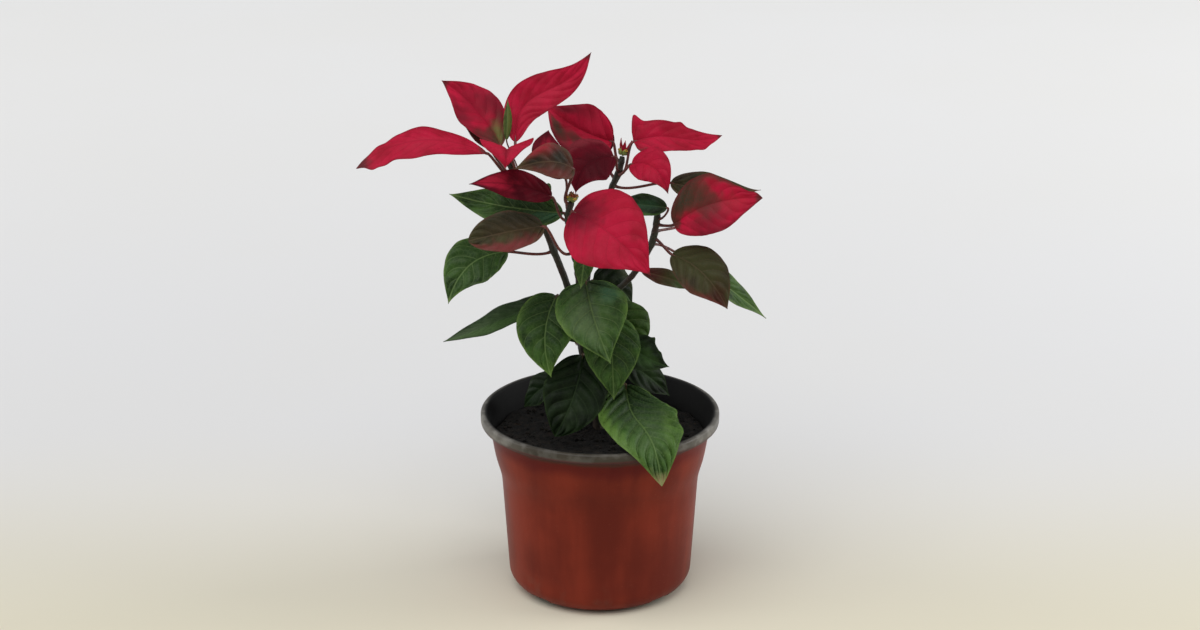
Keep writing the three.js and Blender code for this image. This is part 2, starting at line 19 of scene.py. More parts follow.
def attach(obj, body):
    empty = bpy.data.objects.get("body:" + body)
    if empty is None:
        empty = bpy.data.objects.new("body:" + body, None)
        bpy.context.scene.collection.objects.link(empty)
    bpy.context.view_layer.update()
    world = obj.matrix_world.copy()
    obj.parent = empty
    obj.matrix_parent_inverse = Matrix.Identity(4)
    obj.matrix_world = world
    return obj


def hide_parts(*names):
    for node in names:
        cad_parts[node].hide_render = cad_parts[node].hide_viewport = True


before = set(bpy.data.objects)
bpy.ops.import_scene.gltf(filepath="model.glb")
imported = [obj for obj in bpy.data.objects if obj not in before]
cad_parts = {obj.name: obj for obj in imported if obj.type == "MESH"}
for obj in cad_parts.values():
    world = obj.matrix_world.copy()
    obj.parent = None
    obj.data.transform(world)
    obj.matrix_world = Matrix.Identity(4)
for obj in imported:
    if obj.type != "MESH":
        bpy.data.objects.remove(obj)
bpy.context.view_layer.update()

MM = 0.001
BODY = "root"
FULL_TURN = 2 * math.pi
LOG = logging.getLogger("poinsettia")

Piece = bpy.types.Object
Material = bpy.types.Material
Socket = bpy.types.NodeSocket
Span = tuple[float, float]
Point = tuple[float, float, float]
Colour = tuple[float, float, float, float]


# ---------------------------------------------------------------- small helpers


def srgb(red: float, green: float, blue: float) -> Colour:
    """Turns a screen colour into a linear one, by the usual curve.

    Args:
        red, green, blue: the colour in steps of 255.

    Returns:
        The linear colour with full alpha.
    """
    linear = [c / 12.92 if c <= 0.04045 else ((c + 0.055) / 1.055) ** 2.4
              for c in (red / 255, green / 255, blue / 255)]
    return (linear[0], linear[1], linear[2], 1.0)


def unit(vector: np.ndarray) -> np.ndarray:
    """Scales each vector along the last axis to length 1."""
    return vector / np.linalg.norm(vector, axis=-1, keepdims=True)


def square_to(direction: np.ndarray, vector: np.ndarray) -> np.ndarray:
    """Gives the part of a vector that is square to a unit direction, at length 1."""
    along = np.sum(vector * direction, axis=-1, keepdims=True)
    return unit(vector - direction * along)


def smooth(value: np.ndarray, low: float, high: float) -> np.ndarray:
    """Eases a value from 0 at low to 1 at high."""
    share = np.clip((value - low) / (high - low), 0.0, 1.0)
    return share * share * (3.0 - 2.0 * share)


def bell(distance: np.ndarray, reach: float) -> np.ndarray:
    """Falls from 1 at no distance to about a third at the reach."""
    return np.exp(-((distance / reach) ** 2))


def ray(angle: float) -> np.ndarray:
    """Gives the level direction at an angle round the upright axis."""
    return np.array([math.cos(angle), math.sin(angle), 0.0])


def rough(points: np.ndarray, scale: float, offset: float = 0.0) -> np.ndarray:
    """Reads smooth noise at each point.

    Args:
        points: an array of places, in mm, with x, y, z last.
        scale: the size of one lump, in mm.
        offset: a shift that gives another pattern.

    Returns:
        One value from about -1 to 1 for each point.
    """
    flat = points.reshape(-1, 3) / scale + offset
    values = [noise.noise(Vector(place)) for place in flat]
    return np.array(values).reshape(points.shape[:-1])


def selected(*pieces: Piece) -> Piece:
    """Selects pieces and nothing else.

    Args:
        pieces: the pieces; the first one becomes the active one.

    Returns:
        The first piece.
    """
    bpy.ops.object.select_all(action="DESELECT")
    for piece in pieces:
        piece.select_set(True)
    bpy.context.view_layer.objects.active = pieces[0]
    return pieces[0]


def named(name: str) -> Piece:
    """Names the active object and its data.

    Args:
        name: the new name.

    Returns:
        The active object.
    """
    piece = bpy.context.object
    piece.name = name
    piece.data.name = name
    return piece


def started(name: str, operator: Callable, **settings: object) -> Piece:
    """Adds an object by its operator, with nothing else selected.

    Args:
        name: the object's name.
        operator: the operator that adds it.
        settings: what the operator takes.

    Returns:
        The new object.
    """
    bpy.ops.object.select_all(action="DESELECT")
    operator(**settings)
    return named(name)


def settled(piece: Piece) -> Piece:
    """Moves a piece's place, turn and scale into its mesh.

    Args:
        piece: the piece.

    Returns:
        The same piece, at the origin.
    """
    selected(piece)
    bpy.ops.object.transform_apply(location=True, rotation=True, scale=True)
    return piece


def joined(pieces: Sequence[Piece]) -> Piece:
    """Joins pieces into the first one.

    Args:
        pieces: what is joined.

    Returns:
        The first piece.
    """
    first = selected(*pieces)
    bpy.ops.object.join()
    return first


def modified(piece: Piece, kind: str, **settings: object) -> Piece:
    """Adds a modifier and applies it.

    Args:
        piece: the piece.
        kind: the modifier's type.
        settings: the modifier's settings.

    Returns:
        The same piece.
    """
    modifier = selected(piece).modifiers.new(kind.lower(), kind)
    for name, value in settings.items():
        setattr(modifier, name, value)
    bpy.ops.object.modifier_apply(modifier=modifier.name)
    return piece


def copied(piece: Piece, name: str, place: Matrix) -> Piece:
    """Copies a piece with a mesh of its own.

    Args:
        piece: the pattern.
        name: the copy's name.
        place: where the copy's mesh goes.

    Returns:
        The copy.
    """
    copy = piece.copy()
    copy.data = piece.data.copy()
    copy.name = name
    copy.data.transform(place)
    bpy.context.collection.objects.link(copy)
    return copy


def removed(piece: Piece) -> None:
    """Takes a pattern piece out of the scene."""
    bpy.data.objects.remove(piece, do_unlink=True)


def dressed(piece: Piece, *materials: Material) -> Piece:
    """Gives a piece its materials and no others.

    Args:
        piece: the piece.
        materials: the materials, in the order of their slots.

    Returns:
        The same piece.
    """
    piece.data.materials.clear()
    for material in materials:
        piece.data.materials.append(material)
    return piece


def read_vectors(rows: bpy.types.bpy_prop_collection, name: str) -> np.ndarray:
    """Reads a property of three numbers from each row of a mesh.

    Args:
        rows: the mesh's vertices or their normals.
        name: the property.

    Returns:
        One row of x, y, z for each.
    """
    values = np.empty(len(rows) * 3)
    rows.foreach_get(name, values)
    return values.reshape(-1, 3)


def read_points(piece: Piece) -> np.ndarray:
    """Reads a mesh's vertices, in metres."""
    return read_vectors(piece.data.vertices, "co")


def write_points(piece: Piece, points: np.ndarray) -> None:
    """Moves a mesh's vertices to new places, in metres."""
    piece.data.vertices.foreach_set("co", points.ravel())
    piece.data.update()


def tube(name: str, points: np.ndarray, radii: np.ndarray, resolution: int) -> Piece:
    """Makes a capped round tube through points.

    Args:
        name: the tube's name.
        points: the middle line, in mm.
        radii: the radius at each point, in mm.
        resolution: how finely the round section is cut.

    Returns:
        The tube as a mesh object.
    """
    line = started(name, bpy.ops.curve.primitive_bezier_curve_add)
    line.data.splines.clear()
    spline = line.data.splines.new("POLY")
    spline.points.add(len(points) - 1)
    for target, place, radius in zip(spline.points, points, radii):
        target.co = (*(place * MM), 1.0)
        target.radius = radius
    line.data.bevel_depth = MM
    line.data.bevel_resolution = resolution
    line.data.use_fill_caps = True
    bpy.ops.object.convert(target="MESH")
    return named(name)


def turned(name: str, profile: Sequence[Span], steps: int) -> Piece:
    """Turns a closed profile about the upright axis into a solid.

    Args:
        name: the piece's name.
        profile: radius and height of each corner in mm; the first and the last lie on the axis.
        steps: how many steps one turn has.

    Returns:
        The closed solid, with its faces outwards.
    """
    piece = started(
        name, bpy.ops.mesh.primitive_circle_add, vertices=len(profile), radius=MM, fill_type="NOTHING")
    write_points(piece, np.array([(r, 0.0, z) for r, z in profile]) * MM)
    bpy.ops.object.mode_set(mode="EDIT")
    bpy.ops.mesh.select_all(action="DESELECT")
    bpy.ops.object.mode_set(mode="OBJECT")
    for edge in piece.data.edges:
        edge.select = all(profile[i][0] == 0 for i in edge.vertices)
    bpy.ops.object.mode_set(mode="EDIT")
    bpy.ops.mesh.select_mode(type="EDGE")
    bpy.ops.mesh.delete(type="EDGE_FACE")
    bpy.ops.mesh.select_mode(type="VERT")
    bpy.ops.mesh.select_all(action="SELECT")
    bpy.ops.mesh.spin(steps=steps, angle=FULL_TURN, center=(0, 0, 0), axis=(0, 0, 1))
    bpy.ops.mesh.select_all(action="SELECT")
    bpy.ops.mesh.remove_doubles(threshold=MM / 1000)
    bpy.ops.mesh.normals_make_consistent(inside=False)
    bpy.ops.object.mode_set(mode="OBJECT")
    return piece


def finished(piece: Piece, angle: float, node: str) -> Piece:
    """Shades a finished piece and lets it stand for a CAD node.

    Args:
        piece: the piece.
        angle: faces that meet at less than this many degrees are shaded smooth.
        node: the CAD node that it replaces.

    Returns:
        The same piece.
    """
    selected(piece)
    bpy.ops.object.shade_smooth_by_angle(angle=math.radians(angle))
    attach(piece, BODY)
    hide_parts(node)
    LOG.info("%s: %d faces", piece.name, len(piece.data.polygons))
    return piece


# ---------------------------------------------------------------- shader graph


class Field:
    """A number that varies over a surface. Python's operators on it add Math nodes."""

    def __init__(self, graph: "Graph", socket: Socket) -> None:
        """Wraps one output socket of a graph."""
        self.graph = graph
        self.socket = socket

    def __add__(self, other: "Field | float") -> "Field":
        """Adds."""
        return self.graph.math("ADD", self, other)

    __radd__ = __add__

    def __sub__(self, other: "Field | float") -> "Field":
        """Takes away."""
        return self.graph.math("SUBTRACT", self, other)

    def __rsub__(self, other: float) -> "Field":
        """Takes the field away from a number."""
        return self.graph.math("SUBTRACT", other, self)

    def __mul__(self, other: "Field | float") -> "Field":
        """Multiplies."""
        return self.graph.math("MULTIPLY", self, other)

    __rmul__ = __mul__

    def __gt__(self, other: "Field | float") -> "Field":
        """Gives 1 where the field is greater."""
        return self.graph.math("GREATER_THAN", self, other)

    def __abs__(self) -> "Field":
        """Drops the sign."""
        return self.graph.math("ABSOLUTE", self)

    def larger(self, other: "Field | float") -> "Field":
        """Gives the larger of two."""
        return self.graph.math("MAXIMUM", self, other)

    def eased(self, low: float, high: float, start: float = 0.0, end: float = 1.0) -> "Field":
        """Eases from one value to another.

        Args:
            low, high: where the easing starts and ends.
            start, end: the values there and beyond.

        Returns:
            The eased field.
        """
        node = self.graph.node(
            "ShaderNodeMapRange",
            {"interpolation_type": "SMOOTHSTEP"},
            {"Value": self, "From Min": low, "From Max": high, "To Min": start, "To Max": end},
        )
        return Field(self.graph, node.outputs["Result"])

    def faded(self, low: float, high: float) -> "Field":
        """Eases from 1 at low to 0 at high."""
        return self.eased(low, high, 1.0, 0.0)

    def spread(self, start: float, end: float) -> "Field":
        """Spreads the middle of a noise over a range of values."""
        return self.eased(0.2, 0.8, start, end)


class Graph:
    """The node tree of one material."""

    def __init__(self, name: str) -> None:
        """Starts an empty material.

        Args:
            name: the material's name.
        """
        self.material = bpy.data.materials.new(name)
        self.material.use_nodes = True
        self.tree = self.material.node_tree
        self.tree.nodes.clear()
        self.place = self.node("ShaderNodeTexCoord").outputs["Object"]

    def node(
        self, kind: str, settings: dict | None = None, sockets: dict | None = None
    ) -> bpy.types.Node:
        """Adds a node.

        Args:
            kind: the node's type.
            settings: what is set on the node itself, before its sockets.
            sockets: a value or a link for each input, by name or number.

        Returns:
            The new node.
        """
        node = self.tree.nodes.new(kind)
        for name, value in (settings or {}).items():
            setattr(node, name, value)
        for name, value in (sockets or {}).items():
            source = value.socket if isinstance(value, Field) else value
            if isinstance(source, Socket):
                self.tree.links.new(source, node.inputs[name])
            else:
                node.inputs[name].default_value = source
        return node

    def math(self, operation: str, *values: "Field | float") -> Field:
        """Adds a Math node on one or two values."""
        node = self.node("ShaderNodeMath", {"operation": operation}, dict(enumerate(values)))
        return Field(self, node.outputs[0])

    def mix(self, share: "Field | float", below: object, above: object) -> Socket:
        """Mixes two colours.

        Args:
            share: how much of the second colour there is.
            below: the first colour, a value or a link.
            above: the second colour.

        Returns:
            The socket of the mixed colour.
        """
        factor, first, second, result = 0, 6, 7, 2
        node = self.node(
            "ShaderNodeMix",
            {"data_type": "RGBA", "clamp_factor": True},
            {factor: share, first: below, second: above},
        )
        return node.outputs[result]

    def noise(self, scale: float, detail: float = 3.0, place: Socket | None = None) -> Field:
        """Reads soft noise from 0 to 1; the scale is in lumps a metre, the detail in finer layers on it."""
        sockets = {"Vector": place or self.place, "Scale": scale, "Detail": detail}
        return Field(self, self.node("ShaderNodeTexNoise", sockets=sockets).outputs[0])

    def cells(self, scale: float, feature: str, place: Socket | None = None) -> Field:
        """Reads a pattern of cells.

        Args:
            scale: cells a metre.
            feature: what is measured, such as the distance to a cell's edge.
            place: where it is read, as a rule at the object coordinates.

        Returns:
            The distance, in shares of a cell.
        """
        sockets = {"Vector": place or self.place, "Scale": scale}
        node = self.node("ShaderNodeTexVoronoi", {"feature": feature}, sockets)
        return Field(self, node.outputs["Distance"])

    def stretched(self, scale: Point) -> Socket:
        """Gives object coordinates scaled along each axis."""
        return self.node("ShaderNodeMapping", sockets={"Vector": self.place, "Scale": scale}).outputs[0]

    def split(self, vector: Socket) -> tuple[Field, Field, Field]:
        """Splits a vector into its three numbers."""
        node = self.node("ShaderNodeSeparateXYZ", sockets={"Vector": vector})
        return tuple(Field(self, socket) for socket in node.outputs)

    def height(self) -> Field:
        """Gives the height over the floor in mm."""
        return self.split(self.place)[2] * (1 / MM)

    def attribute(self, name: str) -> bpy.types.Node:
        """Reads an attribute of the mesh."""
        return self.node("ShaderNodeAttribute", {"attribute_name": name})

    def bump(self, height: Field, depth: float) -> Socket:
        """Turns a height from 0 to 1 into relief of a depth in mm."""
        node = self.node("ShaderNodeBump", sockets={"Height": height, "Distance": depth * MM})
        return node.outputs["Normal"]

    def surface(self, sockets: dict) -> Material:
        """Closes the graph with a Principled shader.

        Args:
            sockets: a value or a link for each of the shader's inputs.

        Returns:
            The material.
        """
        shader = self.node("ShaderNodeBsdfPrincipled", sockets=sockets)
        self.node("ShaderNodeOutputMaterial", sockets={"Surface": shader.outputs[0]})
        return self.material


# ---------------------------------------------------------------- finishes


class Tone(Enum):
    """Colours that patches on a blade can have. The two sheen tones are a painted sheen, and deep green also
    darkens some blades as painted shade.
    """

    CRIMSON = srgb(178, 34, 60)
    SCARLET = srgb(186, 26, 50)
    ROSE = srgb(132, 48, 58)
    WINE = srgb(92, 16, 30)
    MAROON = srgb(62, 12, 20)
    BROWN = srgb(66, 48, 38)
    TIP = srgb(48, 36, 32)
    OLIVE = srgb(64, 66, 40)
    GREEN_BROWN = srgb(58, 56, 42)
    DEEP_BROWN = srgb(34, 34, 27)
    PALE_OLIVE = srgb(112, 118, 62)
    LIME = srgb(104, 138, 56)
    FRESH = srgb(78, 112, 50)
    GREEN = srgb(56, 84, 40)
    DEEP_GREEN = srgb(24, 42, 20)
    # These two tones are a painted sheen, a pale glint of light on the leaf.
    BLUE_GREEN = srgb(58, 100, 74)
    GREY_GREEN = srgb(104, 118, 92)
    STRAW = srgb(158, 138, 104)


class Face(Enum):
    """The two faces of a blade."""

    UPPER = "upper"
    LOWER = "lower"


@dataclass(frozen=True)
class BladePattern:
    """The pattern that all blades share.

    Scales are in lumps or cells a metre. A pair holds the two ends between which a mark fades, in mm, in
    shares of the way between two side veins, or in values of the noise. The depth is in mm.
    """

    midrib: Span = (0.25, 0.8)
    side_vein: Span = (0.015, 0.07)
    margin: Span = (0.15, 1.7)
    net_scale: float = 420.0
    net: Span = (0.0, 0.12)
    mottle_scale: float = 75.0
    mottle: Span = (0.36, 0.64)
    fray_scale: float = 330.0
    fray: float = 0.3
    margin_scale: float = 160.0
    margin_mottle: Span = (0.3, 0.6)
    grain_scale: float = 1300.0
    grain: Span = (0.35, 0.75)
    depth: float = 0.12


PATTERN = BladePattern()


@dataclass(frozen=True)
class BladeFinish:
    """The skin of a blade: mottled colour, painted patches, a net of veins and a paler margin.

    The mesh brings two attributes. "blade" holds the distance from the midrib (to the left below 0), the
    number of the side vein and the distance from the margin, both distances in mm. "paint" holds the
    patches.
    """

    name: str
    light: Colour
    dark: Colour
    vein: Colour
    margin: Colour
    under: Colour
    vein_share: float = 0.5
    under_vein_share: float = 0.55
    margin_share: float = 0.4
    roughness: float = 0.5
    shine: float = 0.18

    def material(self, face: Face) -> Material:
        """Builds the finish of one face.

        Args:
            face: the blade's upper or lower face.

        Returns:
            The material.
        """
        graph = Graph(f"{self.name}_{face.value}")
        across, number, margin = graph.split(graph.attribute("blade").outputs["Vector"])
        side = (across > 0.0) * 0.5
        vein_gap = 0.5 - abs(graph.math("FRACT", number + side) - 0.5)
        net = graph.cells(PATTERN.net_scale, "DISTANCE_TO_EDGE").faded(*PATTERN.net)
        side_vein = vein_gap.faded(*PATTERN.side_vein)
        veins = abs(across).faded(*PATTERN.midrib).larger(side_vein * 0.7).larger(net * 0.26)
        mottle = graph.noise(PATTERN.mottle_scale, 4.0).eased(*PATTERN.mottle)
        grain = graph.noise(PATTERN.grain_scale, 2.0)
        if face is Face.UPPER:
            paint = graph.attribute("paint")
            fray = (graph.noise(PATTERN.fray_scale) - 0.5) * PATTERN.fray
            painted = (Field(graph, paint.outputs["Alpha"]) + fray).spread(0.0, 1.0)
            edge = margin.faded(*PATTERN.margin)
            edge = edge * graph.noise(PATTERN.margin_scale).eased(*PATTERN.margin_mottle)
            colour = graph.mix(mottle, self.light, self.dark)
            colour = graph.mix(painted, colour, paint.outputs["Color"])
            colour = graph.mix(veins * self.vein_share, colour, self.vein)
            colour = graph.mix(edge * self.margin_share, colour, self.margin)
            relief = 0.5 * grain - 0.7 * veins
            gloss = self.roughness - 0.1
        else:
            colour = graph.mix(mottle * 0.6, self.under, self.dark)
            colour = graph.mix(veins * self.under_vein_share, colour, self.vein)
            relief = 0.4 * grain + veins
            gloss = self.roughness + 0.12
        return graph.surface({
            "Base Color": graph.mix(grain.eased(*PATTERN.grain) * 0.16, colour, self.dark),
            "Roughness": grain.spread(gloss, gloss + 0.16),
            "Normal": graph.bump(relief, PATTERN.depth),
            "Specular IOR Level": self.shine,
        })


@dataclass(frozen=True)
class StalkFinish:
    """The smooth skin of a petiole, with darker patches and a few streaks along it."""

    name: str
    light: Colour
    dark: Colour
    streak_scale: float = 900.0
    patch_scale: float = 120.0

    def material(self) -> Material:
        """Builds the skin.

        Returns:
            The material.
        """
        graph = Graph(self.name)
        streak = graph.noise(self.streak_scale, 3.0, graph.stretched((1.0, 1.0, 0.3)))
        patch = graph.noise(self.patch_scale, 2.0)
        dark = (streak * 0.6 + patch * 0.5).eased(0.35, 0.75)
        return graph.surface({
            "Base Color": graph.mix(dark, self.light, self.dark),
            "Roughness": streak.spread(0.42, 0.6),
            "Normal": graph.bump(streak, 0.06),
        })


@dataclass(frozen=True)
class BarkFinish:
    """Stem skin: woody and grey-brown at the soil, dark green higher up, with pale pores and cracks."""

    wood: Colour = srgb(66, 56, 44)
    young: Colour = srgb(30, 33, 22)
    blush: Colour = srgb(44, 24, 20)
    pore: Colour = srgb(110, 98, 76)
    wood_heights: Span = (130.0, 210.0)
    grain_scale: float = 520.0
    cloud_scale: float = 110.0
    pore_scale: float = 620.0
    depth: float = 0.3

    def material(self) -> Material:
        """Builds the bark.

        Returns:
            The material.
        """
        graph = Graph("stem_bark")
        grain = graph.noise(self.grain_scale, 5.0, graph.stretched((1.0, 1.0, 0.22)))
        cloud = graph.noise(self.cloud_scale, 3.0)
        woody = (graph.height() + cloud * 60.0).faded(*self.wood_heights)
        pores = graph.cells(self.pore_scale, "F1", graph.stretched((1.0, 1.0, 0.5))).faded(0.1, 0.2)
        colour = graph.mix(cloud.eased(0.4, 0.65), self.young, self.blush)
        colour = graph.mix(woody * grain.eased(0.3, 0.6), colour, self.wood)
        colour = graph.mix(pores * 0.45, colour, self.pore)
        return graph.surface({
            "Base Color": graph.mix(grain.eased(0.5, 0.8) * 0.5, colour, self.blush),
            "Roughness": grain.spread(0.5, 0.78),
            "Normal": graph.bump(grain + pores * 0.5, self.depth),
        })


@dataclass(frozen=True)
class PotFinish:
    """Thin moulded plastic: terracotta outside, smoky black at the lip and inside, with a band of painted
    shade under the lip and a painted highlight at the lip's left and right ends.

    A pair of heights, radii or distances in mm says where a colour starts and where it is full.
    """

    clay: Colour = srgb(127, 48, 34)
    clay_dark: Colour = srgb(100, 36, 27)
    # Dark crimson of the painted shade under the lip.
    clay_painted_shade: Colour = srgb(86, 22, 26)
    clay_pale: Colour = srgb(154, 68, 46)
    smoke: Colour = srgb(62, 57, 49)
    smoke_dark: Colour = srgb(11, 11, 11)
    dust: Colour = srgb(96, 84, 74)
    # Pale grey of light wear on the lip, and of the painted highlight at its ends.
    wear_and_highlight: Colour = srgb(150, 148, 143)
    dusty_foot: Span = (2.0, 26.0)
    painted_shade_heights: Span = (93.0, 101.0)
    smoke_heights: Span = (100.0, 102.5)
    lip_heights: Span = (101.5, 105.0)
    lip_radii: Span = (67.4, 69.8)
    lip_shade_heights: Span = (104.2, 106.0)
    highlight_sides: Span = (34.0, 70.0)
    clay_shine: float = 0.08
    smoke_shine: float = 0.26

    def outside(self) -> Material:
        """Builds the terracotta plastic, with flow lines, a few scuffs, soil dust at its foot and a dark
        crimson band of painted shade just under the lip.

        Returns:
            The material.
        """
        graph = Graph("pot_clay_plastic")
        height = graph.height()
        flow = graph.noise(60.0, 4.0, graph.stretched((1.0, 1.0, 0.12)))
        cloud = graph.noise(26.0, 3.0)
        grain = graph.noise(1500.0, 2.0)
        scuff = graph.noise(420.0, 6.0, graph.stretched((1.0, 1.0, 3.5))).eased(0.66, 0.74)
        dust = graph.noise(90.0, 6.0).eased(0.5, 0.75) * height.faded(*self.dusty_foot)
        # Painted shade: a dark crimson band fades in just under the lip, where the lip shades the collar.
        painted_shade = (height + flow * 9.0).eased(*self.painted_shade_heights)
        smoke = (height + flow * 3.0).eased(*self.smoke_heights)
        colour = graph.mix((flow * 0.5 + cloud * 0.5).eased(0.36, 0.64), self.clay, self.clay_dark)
        colour = graph.mix(scuff * 0.3, colour, self.clay_pale)
        colour = graph.mix(dust * 0.35, colour, self.dust)
        colour = graph.mix(painted_shade * 0.6, colour, self.clay_painted_shade)
        return graph.surface({
            "Base Color": graph.mix(smoke * 0.6, colour, self.smoke),
            "Roughness": (scuff * 0.2 + grain * 0.3 + dust * 0.2).eased(0.0, 0.6, 0.36, 0.6),
            "Normal": graph.bump(flow * 0.6 + grain * 0.12 + scuff * 0.2, 0.25),
            "Specular IOR Level": self.clay_shine,
        })

    def inside(self) -> Material:
        """Builds the smoky black plastic of the lip and of the inner wall, with a little pale wear over the
        lip, a painted highlight towards its left and right ends and painted shade on its lower outer face.

        Returns:
            The material.
        """
        graph = Graph("pot_smoke_plastic")
        x, y, height = (part * (1 / MM) for part in graph.split(graph.place))
        radius = graph.math("SQRT", x * x + y * y)
        cloud = graph.noise(70.0, 4.0)
        grain = graph.noise(1200.0, 2.0)
        dust = graph.noise(120.0, 5.0).eased(0.46, 0.66)
        top = height.eased(*self.lip_heights) * (radius + cloud * 1.6).eased(*self.lip_radii)
        # Painted highlight: the lip grows paler towards its left and right ends, where the side lamps catch
        # it; the spotty part spread all over is light wear.
        sides = abs(x).eased(*self.highlight_sides)
        # Painted shade: the lip's lower outer face takes the dark crimson of the shade band below it, less
        # so at its ends.
        under = (height + cloud).eased(*self.lip_shade_heights, 0.7, 0.0)
        colour = graph.mix(cloud.eased(0.4, 0.7) * 0.35, self.smoke, self.smoke_dark)
        colour = graph.mix(dust * 0.16 + sides * (dust * 0.3 + 0.3), colour, self.wear_and_highlight)
        colour = graph.mix(under * (1.0 - sides * 0.7), colour, self.clay_painted_shade)
        return graph.surface({
            "Base Color": graph.mix(top, self.smoke_dark, colour),
            "Roughness": (dust * 0.5 + grain * 0.3 + (1.0 - top) * 0.5).eased(0.0, 0.7, 0.34, 0.7),
            "Normal": graph.bump(cloud * 0.5 + grain * 0.15, 0.2),
            "Specular IOR Level": self.smoke_shine,
        })


@dataclass(frozen=True)
class SoilFinish:
    """Damp peat: nearly black, with browner crumbs."""

    wet: Colour = srgb(13, 12, 11)
    peat: Colour = srgb(30, 25, 21)
    fibre: Colour = srgb(62, 48, 34)
    lump_scale: float = 240.0
    grain_scale: float = 1400.0
    strand_scale: float = 700.0
    depth: float = 0.7
    shine: float = 0.25

    def material(self) -> Material:
        """Builds the peat.

        Returns:
            The material.
        """
        graph = Graph("damp_peat")
        lump = graph.noise(self.lump_scale, 6.0)
        grain = graph.noise(self.grain_scale, 4.0)
        strand = graph.noise(self.strand_scale, 4.0, graph.stretched((0.25, 1.0, 1.0))).eased(0.62, 0.72)
        colour = graph.mix(lump.eased(0.38, 0.7), self.wet, self.peat)
        return graph.surface({
            "Base Color": graph.mix(strand * 0.5, colour, self.fibre),
            "Roughness": grain.spread(0.72, 0.98),
            "Normal": graph.bump(grain * 0.6 + lump * 0.4, self.depth),
            "Specular IOR Level": self.shine,
        })


@dataclass(frozen=True)
class FlowerFinish:
    """The skin of one small part of a flower."""

    name: str
    light: Colour
    dark: Colour
    roughness: float = 0.45
    patch_scale: float = 700.0
    grain_scale: float = 3000.0

    def material(self) -> Material:
        """Builds the skin.

        Returns:
            The material.
        """
        graph = Graph(self.name)
        patch = graph.noise(self.patch_scale, 3.0)
        grain = graph.noise(self.grain_scale, 2.0)
        return graph.surface({
            "Base Color": graph.mix(patch.eased(0.35, 0.65), self.light, self.dark),
            "Roughness": grain.spread(self.roughness, self.roughness + 0.15),
            "Normal": graph.bump(grain, 0.05),
        })


class Skin(Enum):
    """The finishes that a leaf can have, each named after its member in lower case."""

    GREEN_LEAF = BladeFinish(
        "green_leaf", srgb(58, 90, 35), srgb(31, 54, 20), srgb(116, 142, 84), srgb(118, 146, 72),
        srgb(98, 118, 78))
    DARK_LEAF = BladeFinish(
        "dark_leaf", srgb(27, 41, 21), srgb(14, 22, 12), srgb(58, 78, 46), srgb(64, 86, 44),
        srgb(76, 92, 64), vein_share=0.35, margin_share=0.3, shine=0.09)
    TURNING_LEAF = BladeFinish(
        "turning_leaf", srgb(64, 63, 38), srgb(48, 42, 31), srgb(96, 78, 58), srgb(104, 70, 58),
        srgb(108, 90, 74), vein_share=0.35, margin_share=0.35, shine=0.1)
    RED_BRACT = BladeFinish(
        "red_bract", srgb(182, 20, 56), srgb(154, 13, 41), srgb(116, 8, 28), srgb(110, 12, 32),
        srgb(150, 48, 66), vein_share=0.22, roughness=0.58, shine=0.12)
    SHADED_BRACT = BladeFinish(
        "shaded_bract", srgb(102, 12, 30), srgb(72, 8, 21), srgb(58, 7, 18), srgb(82, 14, 27),
        srgb(118, 40, 52), vein_share=0.35, roughness=0.58, shine=0.06)


class Stalk(Enum):
    """The finishes that a petiole can have."""

    RED = StalkFinish("petiole_red", srgb(112, 44, 40), srgb(62, 24, 24))
    GREEN = StalkFinish("petiole_green", srgb(98, 84, 50), srgb(74, 40, 32))


class FlowerPart(Enum):
    """The finishes of a flower's parts."""

    CUP = FlowerFinish("flower_cup", srgb(126, 136, 62), srgb(88, 104, 48))
    LOBE = FlowerFinish("flower_lobe", srgb(170, 42, 44), srgb(128, 26, 34))
    GLAND = FlowerFinish("flower_gland", srgb(206, 172, 54), srgb(176, 132, 40), 0.25)


class Palette:
    """Makes each material once, when it is first asked for."""

    def __init__(self) -> None:
        """Starts with no material made."""
        self.made: dict[tuple, Material] = {}

    def of(self, finish: Skin | Stalk | FlowerPart, *face: Face) -> Material:
        """Gives a finish's material, and makes it the first time.

        Args:
            finish: the finish.
            face: the face, which only a blade's finish asks for.

        Returns:
            The material.
        """
        key = (finish, *face)
        if key not in self.made:
            self.made[key] = finish.value.material(*face)
        return self.made[key]


# ---------------------------------------------------------------- pot and soil


